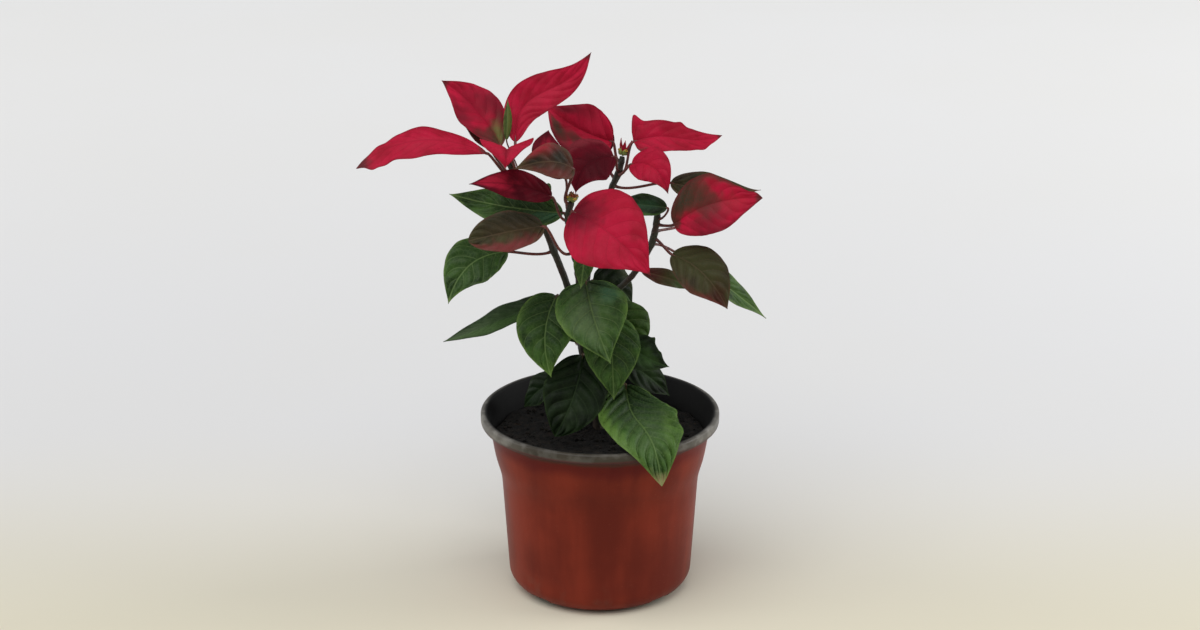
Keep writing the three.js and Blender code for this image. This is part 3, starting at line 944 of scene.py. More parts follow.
@dataclass
class Pot:
    """A round thermoformed nursery pot with a wide collar, a rolled lip and drain notches at its foot.

    A place on its outline is a pair of radius and height, and the neck's are steps from the lip's foot.
    """

    height: float = 109.0
    rim_radius: float = 70.0
    lip_width: float = 4.2
    lip_height: float = 5.8
    lip_round: float = 1.3
    lip_hook: float = 0.4
    lip_thickness: float = 3.9
    neck: tuple[Span, Span] = ((-0.6, -2.2), (0.0, -0.7))
    collar_top: Span = (64.4, 99.0)
    collar_foot: Span = (61.4, 81.0)
    body_top: Span = (58.0, 71.0)
    body_foot: Span = (54.0, 12.0)
    foot_radius: float = 39.5
    under_rings: tuple[float, ...] = (0.0, 20.0, 36.0)
    wall: float = 1.3
    floor: float = 1.8
    slot_count: int = 4
    slot_size: Span = (15.0, 5.0)
    slot_inner_radius: float = 36.0
    slot_round: float = 1.6
    wobble: float = 0.22
    wobble_size: float = 24.0
    wobble_stretch: float = 0.35
    wobble_heights: Span = (10.0, 60.0)
    step_softness: float = 5.0
    soft_samples: int = 17
    steps: int = 160
    wall_steps: int = 34
    foot_steps: int = 10
    lip_steps: int = 5
    colour_drop: float = 1.2
    smooth_angle: float = 50.0

    def arc(self, centre: Span, start: float, end: float) -> list[Span]:
        """Gives the points of one of the lip's round corners.

        Args:
            centre: the middle of the round.
            start, end: its first and last angle, in degrees.

        Returns:
            The points.
        """
        angles = np.radians(np.linspace(start, end, self.lip_steps))
        return [(centre[0] + self.lip_round * math.cos(a), centre[1] + self.lip_round * math.sin(a))
                for a in angles]

    def corner(self, inset: float, floor: float) -> list[Span]:
        """Gives the quarter-round between the underside and the wall.

        Args:
            inset: how far inside the outer surface it lies.
            floor: the height that it starts from.

        Returns:
            The points, from the underside to the wall.
        """
        reach = self.body_foot[0] - self.foot_radius
        angles = np.linspace(0, math.pi / 2, self.foot_steps)
        return [(self.foot_radius - inset + reach * math.sin(a),
                 floor + (self.body_foot[1] - floor) * (1 - math.cos(a))) for a in angles]

    def wall_line(self, inset: float) -> list[Span]:
        """Gives the wall from the corner to the lip, with the step under the collar softened.

        Args:
            inset: how far inside the outer surface it lies.

        Returns:
            The points, from the foot up.
        """
        corners = np.array([self.body_foot, self.body_top, self.collar_foot, self.collar_top])
        heights = np.linspace(self.body_foot[1], self.collar_top[1], self.wall_steps)[1:]
        spread = np.linspace(-2.0, 2.0, self.soft_samples)
        weights = bell(spread, 1.0)
        near_end = np.minimum(heights - corners[0, 1], corners[-1, 1] - heights)
        width = np.minimum(self.step_softness, near_end / 2)
        spots = heights[:, None] + spread * width[:, None]
        radii = (np.interp(spots, corners[:, 1], corners[:, 0]) * weights).sum(axis=1) / weights.sum()
        return [(float(r) - inset, float(z)) for r, z in zip(radii, heights)]

    def profile(self) -> list[Span]:
        """Gives the closed profile, outside up and inside down.

        Returns:
            The points, from the underside's centre to the floor's.
        """
        rim, top, turn = self.rim_radius, self.height, self.lip_round
        under = top - self.lip_height
        lip = [(rim - self.lip_width + step, under + rise) for step, rise in self.neck]
        lip += self.arc((rim - turn, under + turn - self.lip_hook), -90, 0)
        lip += self.arc((rim - turn, top - turn), 0, 90)
        lip += self.arc((rim - self.lip_thickness + turn, top - turn), 90, 180)
        underside = [(radius, 0.0) for radius in self.under_rings]
        outside = [*underside, *self.corner(0, 0), *self.wall_line(0)]
        inside = [*self.corner(self.wall, self.floor), *self.wall_line(self.wall)][::-1]
        return [*outside, *lip, *inside, (0.0, self.floor)]

    def build(self, finish: PotFinish) -> Piece:
        """Turns, notches and dresses the pot.

        Args:
            finish: the plastic's finish.

        Returns:
            The pot.
        """
        pot = turned("nursery_pot", self.profile(), self.steps)
        for number in range(self.slot_count):
            self.notch(pot, (number + 0.5) / self.slot_count * FULL_TURN)
        points = read_points(pot) / MM
        outward = unit(points * (1, 1, 0) + (1e-9, 0, 0))
        lift = smooth(points[:, 2], *self.wobble_heights) * (np.abs(points[:, 0]) > 0.01)
        swell = rough(points * (1, 1, self.wobble_stretch), self.wobble_size) * self.wobble * lift
        write_points(pot, (points + outward * swell[:, None]) * MM)
        dressed(pot, finish.outside(), finish.inside())
        lip_start = self.height - self.lip_height - self.colour_drop
        for face in pot.data.polygons:
            centre, normal = face.center / MM, face.normal
            inner = normal.dot(Vector((centre.x, centre.y, 0)).normalized()) < -0.2
            floor = normal.z > 0.5 and centre.z > self.floor / 2
            face.material_index = int(inner or floor or centre.z > lip_start)
        return finished(pot, self.smooth_angle, "pot")

    def notch(self, pot: Piece, angle: float) -> None:
        """Cuts one drain notch into the foot.

        Args:
            pot: the pot.
            angle: where the notch lies, round the upright axis.
        """
        width, height = self.slot_size
        length = self.rim_radius - self.slot_inner_radius
        middle = ray(angle) * (self.slot_inner_radius + length / 2)
        cutter = started(
            "notch", bpy.ops.mesh.primitive_cube_add, size=MM, location=middle * MM,
            rotation=(0, 0, angle))
        cutter.scale = (length, width, 2 * height)
        settled(cutter)
        modified(cutter, "BEVEL", width=self.slot_round * MM, segments=3, limit_method="ANGLE")
        modified(pot, "BOOLEAN", operation="DIFFERENCE", solver="EXACT", object=cutter)
        removed(cutter)


@dataclass
class Soil:
    """Damp peat that fills the pot: an uneven top with clods, loose crumbs and fibres.

    Each layer of clods has the clods' size, a shift of their pattern and their height.
    """

    pot: Pot
    level: float = 95.0
    edge_drop: float = 4.0
    edge_dip: float = 1.2
    edge_reach: Span = (-0.2, 3.0)
    lump: float = 0.8
    hump: float = 2.5
    hump_reach: float = 17.0
    clod_layers: tuple[Point, ...] = ((5.5, 3.1, 1.5), (2.1, 9.7, 0.8))
    gap: float = 0.3
    rings: int = 64
    steps: int = 200
    spot_range: Span = (0.012, 0.93)
    crumbs: int = 420
    crumb_patterns: int = 4
    crumb_sizes: Span = (0.5, 1.9)
    crumb_roughness: float = 0.28
    fibres: int = 70
    fibre_lengths: Span = (2.5, 7.0)
    fibre_radii: Span = (0.12, 0.3)
    fibre_lift: float = 0.35
    seed: int = 7
    smooth_angle: float = 60.0

    def top(self, x: np.ndarray, y: np.ndarray) -> np.ndarray:
        """Gives the height of the soil's top at places in mm, without its clods."""
        ripple = np.sin(0.21 * x + 1.3) * np.cos(0.17 * y) + 0.6 * np.sin(0.34 * y - 0.29 * x)
        return self.level + self.lump * ripple + self.hump * bell(np.hypot(x, y), self.hump_reach)

    def clods(self, points: np.ndarray) -> np.ndarray:
        """Gives the height of the clods.

        Args:
            points: the places, in mm.

        Returns:
            The heights over the plain top.
        """
        flat = points * (1, 1, 0)
        return sum(height * (0.25 - np.abs(rough(flat, size, shift)))
                   for size, shift, height in self.clod_layers)

    def edge_radius(self) -> float:
        """Gives the radius of the soil's top at the wall.

        Returns:
            The radius.
        """
        (low_r, low_z), (high_r, high_z) = self.pot.collar_foot, self.pot.collar_top
        share = (self.level - self.edge_drop - low_z) / (high_z - low_z)
        return low_r + (high_r - low_r) * share - self.pot.wall - self.gap

    def build(self, finish: SoilFinish) -> Piece:
        """Builds the soil with its crumbs.

        Args:
            finish: the peat's finish.

        Returns:
            The soil.
        """
        inset, floor = self.pot.wall + self.gap, self.pot.floor + self.gap
        edge = (self.edge_radius(), self.level - self.edge_drop)
        below = [(r, z) for r, z in self.pot.wall_line(inset) if z < edge[1] - 1]
        top = [(edge[0] * share, self.level) for share in np.linspace(1.0, 0.0, self.rings)]
        profile = [(0.0, floor), *self.pot.corner(inset, floor), *below, edge, *top]
        soil = turned("potting_soil", profile, self.steps)
        points = read_points(soil) / MM
        is_top = points[:, 2] > self.level - self.edge_drop / 2
        from_edge = edge[0] - np.hypot(points[:, 0], points[:, 1])
        fade = smooth(from_edge, *self.edge_reach)
        dip = (1 - fade) * self.edge_dip
        height = self.top(points[:, 0], points[:, 1]) + self.clods(points) * fade - dip
        points[is_top, 2] = height[is_top]
        write_points(soil, points * MM)
        joined([soil, *self.loose_crumbs(), *self.loose_fibres()])
        dressed(soil, finish.material())
        return finished(soil, self.smooth_angle, "soil")

    def spot(self, chance: random.Random) -> np.ndarray:
        """Picks a place on the soil's top, clear of the stem and the wall.

        Args:
            chance: the random draws.

        Returns:
            The place, in mm.
        """
        radius = math.sqrt(chance.uniform(*self.spot_range)) * self.edge_radius()
        base = ray(chance.uniform(0, FULL_TURN)) * radius
        base[2] = float(self.top(base[0], base[1]) + self.clods(base[None])[0])
        return base

    def loose_crumbs(self) -> list[Piece]:
        """Scatters copies of a few rough clods.

        Returns:
            The crumbs.
        """
        patterns = []
        for number in range(self.crumb_patterns):
            patterns.append(started(
                f"clod_{number}", bpy.ops.mesh.primitive_ico_sphere_add, subdivisions=2, radius=MM))
            bpy.ops.object.mode_set(mode="EDIT")
            bpy.ops.mesh.select_all(action="SELECT")
            bpy.ops.transform.vertex_random(offset=self.crumb_roughness * MM, seed=number + 1)
            bpy.ops.object.mode_set(mode="OBJECT")
        chance = random.Random(self.seed)
        low, high = self.crumb_sizes
        crumbs = []
        for number in range(self.crumbs):
            size = low + (high - low) * chance.random() ** 2.4
            turn = Matrix.Rotation(chance.uniform(0, 6.28), 4, "X")
            turn = turn @ Matrix.Rotation(chance.uniform(0, 6.28), 4, "Z")
            sides = (size, size * chance.uniform(0.6, 1.0), size * chance.uniform(0.5, 0.9), 1)
            spot = self.spot(chance) + (0, 0, size / 4)
            place = Matrix.Translation(Vector(spot * MM)) @ turn @ Matrix.Diagonal(sides)
            crumbs.append(copied(patterns[number % self.crumb_patterns], f"crumb_{number}", place))
        for pattern in patterns:
            removed(pattern)
        return crumbs

    def loose_fibres(self) -> list[Piece]:
        """Scatters short bent fibres.

        Returns:
            The fibres.
        """
        chance = random.Random(self.seed + 1)
        shares = np.linspace(0, 1, 5)[:, None]
        taper = np.array([1, 1.2, 1, 0.9, 0.4])
        fibres = []
        for number in range(self.fibres):
            spot = self.spot(chance) + (0, 0, self.fibre_lift)
            heading = ray(chance.uniform(0, FULL_TURN))
            length = chance.uniform(*self.fibre_lengths)
            run = (heading + (0, 0, chance.uniform(-0.1, 0.3))) * length
            sideways = np.array([-run[1], run[0], 0.0]) * chance.uniform(-0.3, 0.3)
            line = spot + run * (shares - 0.5) + sideways * (4 * shares * (1 - shares))
            fibres.append(tube(f"fibre_{number}", line, taper * chance.uniform(*self.fibre_radii), 0))
        return fibres


# ---------------------------------------------------------------- stem


@dataclass
class Branch:
    """One branch: a centripetal curve through points, read by shares of its length.

    The radius falls from its first value to its second, and swells a little at each node, where a leaf
    grows.
    """

    points: Sequence[Point]
    radius: Span
    nodes: list[float] = field(default_factory=list)
    divisions: int = 200
    node_reach: float = 1.9
    node_swell: float = 0.55
    most_swell: float = 1.2

    def __post_init__(self) -> None:
        """Measures the curve."""
        self.known = np.array(self.points, dtype=float)
        self.steps = np.linspace(0, 1, self.divisions + 1)
        line = np.array([self.raw(t) for t in self.steps])
        lengths = np.linalg.norm(np.diff(line, axis=0), axis=1)
        self.travelled = np.concatenate([[0.0], np.cumsum(lengths)])
        self.length = float(self.travelled[-1])

    def raw(self, t: float) -> np.ndarray:
        """Reads the curve, an uneven Catmull-Rom one, by its points.

        Args:
            t: the share of the spans between the points.

        Returns:
            The place.
        """
        known = self.known
        padded = np.vstack([2 * known[0] - known[1], known, 2 * known[-1] - known[-2]])
        span = min(int(t * (len(known) - 1)), len(known) - 2)
        weight = t * (len(known) - 1) - span
        p0, p1, p2, p3 = padded[span:span + 4]
        d0, d1, d2 = (math.sqrt(np.linalg.norm(b - a)) for a, b in ((p0, p1), (p1, p2), (p2, p3)))
        start = ((p1 - p0) / d0 - (p2 - p0) / (d0 + d1) + (p2 - p1) / d1) * d1
        end = ((p2 - p1) / d1 - (p3 - p1) / (d1 + d2) + (p3 - p2) / d2) * d1
        w2, w3 = weight**2, weight**3
        return ((2 * w3 - 3 * w2 + 1) * p1 + (w3 - 2 * w2 + weight) * start
                + (3 * w2 - 2 * w3) * p2 + (w3 - w2) * end)

    def at(self, share: float) -> np.ndarray:
        """Gives the point at a share of the length."""
        return self.raw(float(np.interp(share * self.length, self.travelled, self.steps)))

    def tangent(self, share: float) -> np.ndarray:
        """Gives the direction at a share of the length."""
        step = 1e-3
        return unit(self.at(min(share + step, 1.0)) - self.at(max(share - step, 0.0)))

    def radius_at(self, share: float) -> float:
        """Gives the radius with its swellings.

        Args:
            share: the share of the length.

        Returns:
            The radius.
        """
        even = self.radius[0] + (self.radius[1] - self.radius[0]) * share
        swells = sum(float(bell((share - node) * self.length, self.node_reach)) for node in self.nodes)
        return even + self.node_swell * min(swells, self.most_swell)


@dataclass
class Stem:
    """The woody stem and its four branches, grown together, with the low scars of fallen leaves."""

    branches: dict[str, Branch]
    point_spacing: float = 1.6
    voxel: float = 0.55
    root_flare: float = 0.9
    flare_reach: float = 6.0
    soil_level: float = 96.0
    buried_radius: float = 3.4
    ridge: float = 0.14
    fine_size: float = 1.3
    fine_stretch: float = 0.22
    broad_size: float = 3.0
    broad_stretch: float = 0.5
    broad_share: float = 0.6
    scars: tuple[float, ...] = (0.34, 0.38, 0.47, 0.53, 0.59)
    scar_size: Point = (1.3, 1.3, 0.75)
    scar_sink: float = 0.25
    scar_turns: Span = (0.7, 2.4)
    smooth_angle: float = 80.0

    def build(self, finish: BarkFinish) -> Piece:
        """Builds the stem in one skin.

        Args:
            finish: the bark's finish.

        Returns:
            The stem.
        """
        limbs = []
        for name, branch in self.branches.items():
            shares = np.linspace(0, 1, round(branch.length / self.point_spacing))
            line = np.array([branch.at(share) for share in shares])
            radii = np.array([branch.radius_at(share) for share in shares])
            if name == "main":
                radii = radii + self.root_flare * bell(line[:, 2] - self.soil_level, self.flare_reach)
                buried = line[:, 2] < self.soil_level - self.flare_reach
                radii = np.where(buried, np.minimum(radii, self.buried_radius), radii)
            limbs.append(tube(f"limb_{name}", line, radii, 4))
        stem = joined([*limbs, *self.leaf_scars()])
        stem.name = "branched_stem"
        modified(stem, "REMESH", mode="VOXEL", voxel_size=self.voxel * MM)
        modified(stem, "SMOOTH", factor=0.5, iterations=5)
        points = read_points(stem) / MM
        outward = read_vectors(stem.data.vertex_normals, "vector")
        fine = rough(points * (1, 1, self.fine_stretch), self.fine_size)
        broad = rough(points * (1, 1, self.broad_stretch), self.broad_size, 5.0)
        ridges = (fine + self.broad_share * broad) * self.ridge
        write_points(stem, (points + outward * ridges[:, None]) * MM)
        dressed(stem, finish.material())
        return finished(stem, self.smooth_angle, "stem")

    def leaf_scars(self) -> list[Piece]:
        """Adds the scars on the bare stretch of the stem.

        Returns:
            The scars.
        """
        main = self.branches["main"]
        first, step = self.scar_turns
        scars = []
        for number, share in enumerate(self.scars):
            angle = number * step + first
            place = main.at(share) + ray(angle) * (main.radius_at(share) - self.scar_sink)
            scars.append(settled(started(
                f"scar_{number}", bpy.ops.mesh.primitive_uv_sphere_add, segments=16, ring_count=10,
                radius=MM, location=place * MM, scale=self.scar_size, rotation=(0, 0, angle))))
        return scars


# ---------------------------------------------------------------- leaves


@dataclass(frozen=True)
class BladeMaker:
    """Sizes that all leaves share, in mm or as shares of a leaf's length or half width.

    A pair holds the least and the most, or where a form starts and where it is full.
    """

    thickness: float = 0.5
    tip_half_width: float = 0.12
    column_spacing: float = 0.72
    columns: tuple[int, int] = (8, 46)
    even_columns: float = 0.75
    row_spacing: float = 0.95
    rows: tuple[int, int] = (14, 78)
    even_rows: float = 0.45
    lobe_reach: float = 0.05
    fewest_veins: int = 5
    vein_pitch: float = 8.2
    vein_start: float = 0.3
    vein_sweep: float = 0.22
    vein_curl: float = 0.1
    vein_width: float = 0.8
    vein_depth: float = 0.45
    midrib_width: float = 0.9
    midrib_depth: float = 0.35
    quilting: float = 0.95
    inner_rim: Span = (0.3, 2.6)
    outer_rim: Span = (0.0, 3.0)
    full_width: float = 24.0
    bract_calm: float = 0.5
    undulation: float = 0.45
    undulation_size: float = 11.0
    margin_ripple: float = 0.022
    ripples: float = 13.0
    ripple_shift: float = 5.0
    patch_edge: float = 1.4
    patch_fray: float = 0.6
    fray_size: float = 4.0
    wave_phase_left: float = 2.2
    wave_phase_right: float = 0.5
    petiole_radius: float = 0.85
    petiole_share: float = 0.35
    petiole_width: float = 32.0
    petiole_steps: int = 16
    foot_swell: float = 0.35
    foot_reach: float = 2.0
    leave: float = 0.3
    arrive: float = 0.21
    seat_depth: float = 0.9
    rib_steps: int = 26
    rib_end: float = 0.94
    rib_rise: Span = (0.0, 0.07)
    rib_tip: float = 0.2
    rib_taper: float = 1.2
    rib_sink: float = 0.8
    rib_depth: float = 0.1
    smooth_angle: float = 75.0


MAKER = BladeMaker()


@dataclass(frozen=True)
class Patch:
    """A soft patch of another colour on a blade's upper face.

    `along` runs from 0 at the base to 1 at the tip, and `across` from -1 at the left margin to 1 at the
    right one. `length` and `width` are the patch's half sizes in the same shares.
    """

    tone: Tone
    along: float
    across: float
    length: float
    width: float
    amount: float = 1.0

    def cover(self, u: np.ndarray, s: np.ndarray, ragged: np.ndarray) -> np.ndarray:
        """Gives how much of the patch lies at places along and across; `ragged` frays its edge."""
        reach = ((u - self.along) / self.length) ** 2 + ((s - self.across) / self.width) ** 2
        return self.amount * np.exp(-((reach * (1 + MAKER.patch_fray * ragged)) ** MAKER.patch_edge))


@dataclass(frozen=True)
class Leaf:
    """One leaf or bract: a petiole from its branch and a veined blade with a raised rib beneath.

    `on` and `at` say where the petiole grows, `base` and `tip` are the ends of the blade, and `face` is
    where its upper side looks. The other fields are those of the solid with the same name. In the methods
    `u` is the share of the length from the base, and `s` that of the half width, below 0 to the left.
    """

    name: str
    on: str
    at: float
    base: Point
    tip: Point
    face: Point
    skin: Skin
    stalk: Stalk = Stalk.RED
    width: float = 30.0
    widest: float = 0.4
    heel: float = 0.5
    point: float = 1.25
    lift: float = 5.0
    sway: float = 0.0
    bend: float = 0.0
    snake: float = 0.0
    fold: float = 8.0
    wave: float = 0.8
    waves: float = 2.5
    lobes: tuple[Point, ...] = ()
    puckered: float = 1.0
    patches: tuple[Patch, ...] = ()

    @property
    def reach(self) -> np.ndarray:
        """The straight way from the base to the tip."""
        return np.array(self.tip, float) - np.array(self.base, float)

    @property
    def length(self) -> float:
        """The blade's length."""
        return float(np.linalg.norm(self.reach))

    def midrib(self, u: np.ndarray) -> np.ndarray:
        """Gives the midrib's places.

        Args:
            u: the shares of the length.

        Returns:
            The places, in mm.
        """
        along = unit(self.reach)
        up = square_to(along, np.array(self.face, float))
        right = np.cross(along, up)
        arch, double = 4 * u * (1 - u), np.sin(FULL_TURN * u)
        return (np.array(self.base, float) + self.reach * u[:, None]
                + up * (self.lift * arch + self.sway * double)[:, None]
                + right * (self.bend * arch + self.snake * double)[:, None])

    def frame(self, u: np.ndarray) -> tuple[np.ndarray, np.ndarray, np.ndarray]:
        """Gives the blade's directions on its midrib.

        Args:
            u: the shares of the length.

        Returns:
            The tangents, the ways across and the normals.
        """
        step = 1e-3
        along = unit(self.reach)
        right = np.cross(along, square_to(along, np.array(self.face, float)))
        tangent = unit(self.midrib(u + step) - self.midrib(u - step))
        across = square_to(tangent, np.broadcast_to(right, tangent.shape))
        return tangent, across, np.cross(across, tangent)

    def half_width(self, u: np.ndarray, s: np.ndarray) -> tuple[np.ndarray, np.ndarray]:
        """Gives the blade's half width, with its teeth and the ripple of its margin.

        Args:
            u, s: the places.

        Returns:
            The half widths in mm, and the plain outline from 0 to 1.
        """
        below = u < self.widest
        v = np.where(below, 1 - u / self.widest, (u - self.widest) / (1 - self.widest))
        outline = np.clip(np.cos(np.pi / 2 * v), 0, None) ** np.where(below, self.heel, self.point)
        teeth = np.ones_like(u)
        for place, side, height in self.lobes:
            teeth = teeth + np.where(np.sign(s) == side, height * bell(u - place, MAKER.lobe_reach), 0)
        pattern = np.full_like(u, self.length + self.width)
        places = np.stack([u * MAKER.ripples, np.sign(s) * MAKER.ripple_shift, pattern], axis=-1)
        ripple = 1 + MAKER.margin_ripple * rough(places, 1.0)
        return np.maximum(MAKER.tip_half_width, self.width / 2 * outline * teeth * ripple), outline

    def vein_number(self, u: np.ndarray, s: np.ndarray) -> np.ndarray:
        """Gives a value that is whole along each side vein."""
        count = max(MAKER.fewest_veins, round(self.length / MAKER.vein_pitch))
        return count * (u - MAKER.vein_sweep * np.abs(s) - MAKER.vein_curl * s**4) + MAKER.vein_start

    def relief(self, u: np.ndarray, s: np.ndarray, half: np.ndarray) -> np.ndarray:
        """Gives the form of the upper face: sunken veins, and swellings between them.

        Args:
            u, s: the places.
            half: the half width at each, in mm.

        Returns:
            The heights over the plain form, in mm.
        """
        number = self.vein_number(u, s) + np.where(s > 0, 0.5, 0.0)
        gap = 0.5 - np.abs(number % 1.0 - 0.5)
        beside = np.abs(s) * half
        rims = smooth(beside, *MAKER.inner_rim) * smooth(half - beside, *MAKER.outer_rim)
        small = min(1.0, self.width / MAKER.full_width)
        calm = MAKER.bract_calm if self.skin in (Skin.RED_BRACT, Skin.SHADED_BRACT) else 1.0
        swell = MAKER.quilting * np.sin(np.pi * np.clip(gap, 0, 0.5)) * rims
        vein = MAKER.vein_depth * bell(gap * MAKER.vein_pitch, MAKER.vein_width) * rims
        groove = MAKER.midrib_depth * bell(beside, MAKER.midrib_width) * np.sqrt(np.clip(1 - u, 0, 1))
        return (swell - vein) * small * calm * self.puckered - groove * small

    def surface(self, u: np.ndarray, s: np.ndarray) -> tuple[np.ndarray, np.ndarray, np.ndarray]:
        """Places the blade's middle surface.

        Args:
            u, s: the places.

        Returns:
            The points and normals in mm, and the half width at each.
        """
        _, across, normal = self.frame(u)
        half, outline = self.half_width(u, s)
        phase = np.where(s > 0, MAKER.wave_phase_right, MAKER.wave_phase_left)
        wave = self.wave * np.sin(FULL_TURN * self.waves * u + phase)
        tilt = math.radians(self.fold)
        rise = np.abs(s) * half * math.sin(tilt) + s * s * outline * wave + self.relief(u, s, half)
        flat = self.midrib(u) + across * (s * half * math.cos(tilt))[:, None]
        drift = rough(flat, MAKER.undulation_size, self.length) * MAKER.undulation * outline
        return flat + normal * (rise + drift)[:, None], normal, half

    def build(self, branches: dict[str, Branch], palette: Palette) -> Piece:
        """Builds the leaf and dresses it.

        Args:
            branches: the branches by name.
            palette: the materials.

        Returns:
            The leaf.
        """
        blade = self.blade(f"grown_{self.name}")
        dressed(blade, palette.of(self.skin, Face.UPPER), palette.of(self.skin, Face.LOWER))
        modified(blade, "SOLIDIFY", thickness=MAKER.thickness * MM, offset=0.0, material_offset=1)
        petiole = dressed(self.petiole(branches[self.on]), palette.of(self.stalk))
        return finished(joined([blade, petiole]), MAKER.smooth_angle, self.name)

    def blade(self, name: str) -> Piece:
        """Lays a grid over the blade's surface, and gives it the attributes that its skin reads.

        Args:
            name: the blade's name.

        Returns:
            The blade, still without thickness.
        """
        columns = int(np.clip(self.width / MAKER.column_spacing, *MAKER.columns))
        rows = int(np.clip(self.length / MAKER.row_spacing, *MAKER.rows))
        blade = started(
            name, bpy.ops.mesh.primitive_grid_add, x_subdivisions=columns, y_subdivisions=rows, size=2)
        # The columns lie closer at the midrib, and the rows at the base and the tip.
        flat = read_points(blade)
        s = flat[:, 0] * (MAKER.even_columns + (1 - MAKER.even_columns) * flat[:, 0] ** 2)
        share = (flat[:, 1] + 1) / 2
        u = MAKER.even_rows * share + (1 - MAKER.even_rows) * (1 - np.cos(np.pi * share)) / 2
        points, _, half = self.surface(u, s)
        write_points(blade, points * MM)
        facts = np.stack([s * half, self.vein_number(u, s), (1 - np.abs(s)) * half], axis=-1)
        layer = blade.data.attributes.new("blade", "FLOAT_VECTOR", "POINT")
        layer.data.foreach_set("vector", facts.ravel())
        layer = blade.data.attributes.new("paint", "FLOAT_COLOR", "POINT")
        ragged = rough(points, MAKER.fray_size, 2.0)
        layer.data.foreach_set("color", self.paint(u, s, ragged).ravel())
        return blade

    def paint(self, u: np.ndarray, s: np.ndarray, ragged: np.ndarray) -> np.ndarray:
        """Lays the patches over each other.

        Args:
            u, s: the places.
            ragged: noise that frays the patches' edges.

        Returns:
            The colour at each place, with the patches' cover as its alpha.
        """
        paint = np.zeros((len(u), 4))
        paint[:, :3] = self.skin.value.light[:3]
        for patch in self.patches:
            cover = patch.cover(u, s, ragged)[:, None]
            paint += (np.array(patch.tone.value) - paint) * cover
        return paint

    def petiole(self, branch: Branch) -> Piece:
        """Makes the petiole, which goes on as the rib under the blade.

        Args:
            branch: the branch that it grows on.

        Returns:
            The petiole with its rib.
        """
        node, base = branch.at(self.at), np.array(self.base, float)
        outward = square_to(branch.tangent(self.at), base - node)
        start = node + outward * (branch.radius_at(self.at) - MAKER.seat_depth)
        length = float(np.linalg.norm(start - base))
        first = self.frame(np.array([0.0]))[0][0]
        corners = [start, start + outward * MAKER.leave * length,
                   base - first * MAKER.arrive * length, base]
        t = np.linspace(0, 1, MAKER.petiole_steps)[:-1, None]
        weights = ((1 - t) ** 3, 3 * t * (1 - t) ** 2, 3 * t * t * (1 - t), t**3)
        stalk = sum(weight * corner for weight, corner in zip(weights, corners))
        full = MAKER.petiole_radius * min(1.0, MAKER.petiole_share + self.width / MAKER.petiole_width)
        stalk_radius = full * (1 + MAKER.foot_swell * bell(t[:, 0] * length, MAKER.foot_reach))
        u = np.linspace(0, MAKER.rib_end, MAKER.rib_steps)
        middle, normal, _ = self.surface(u, np.zeros_like(u))
        rib_radius = full * (MAKER.rib_tip + (1 - MAKER.rib_tip) * (1 - u) ** MAKER.rib_taper)
        sunk = rib_radius * MAKER.rib_sink * smooth(u, *MAKER.rib_rise) + MAKER.rib_depth
        line = np.vstack([stalk, middle - normal * sunk[:, None]])
        return tube(f"stalk_{self.name}", line, np.concatenate([stalk_radius, rib_radius]), 2)


# ---------------------------------------------------------------- flowers


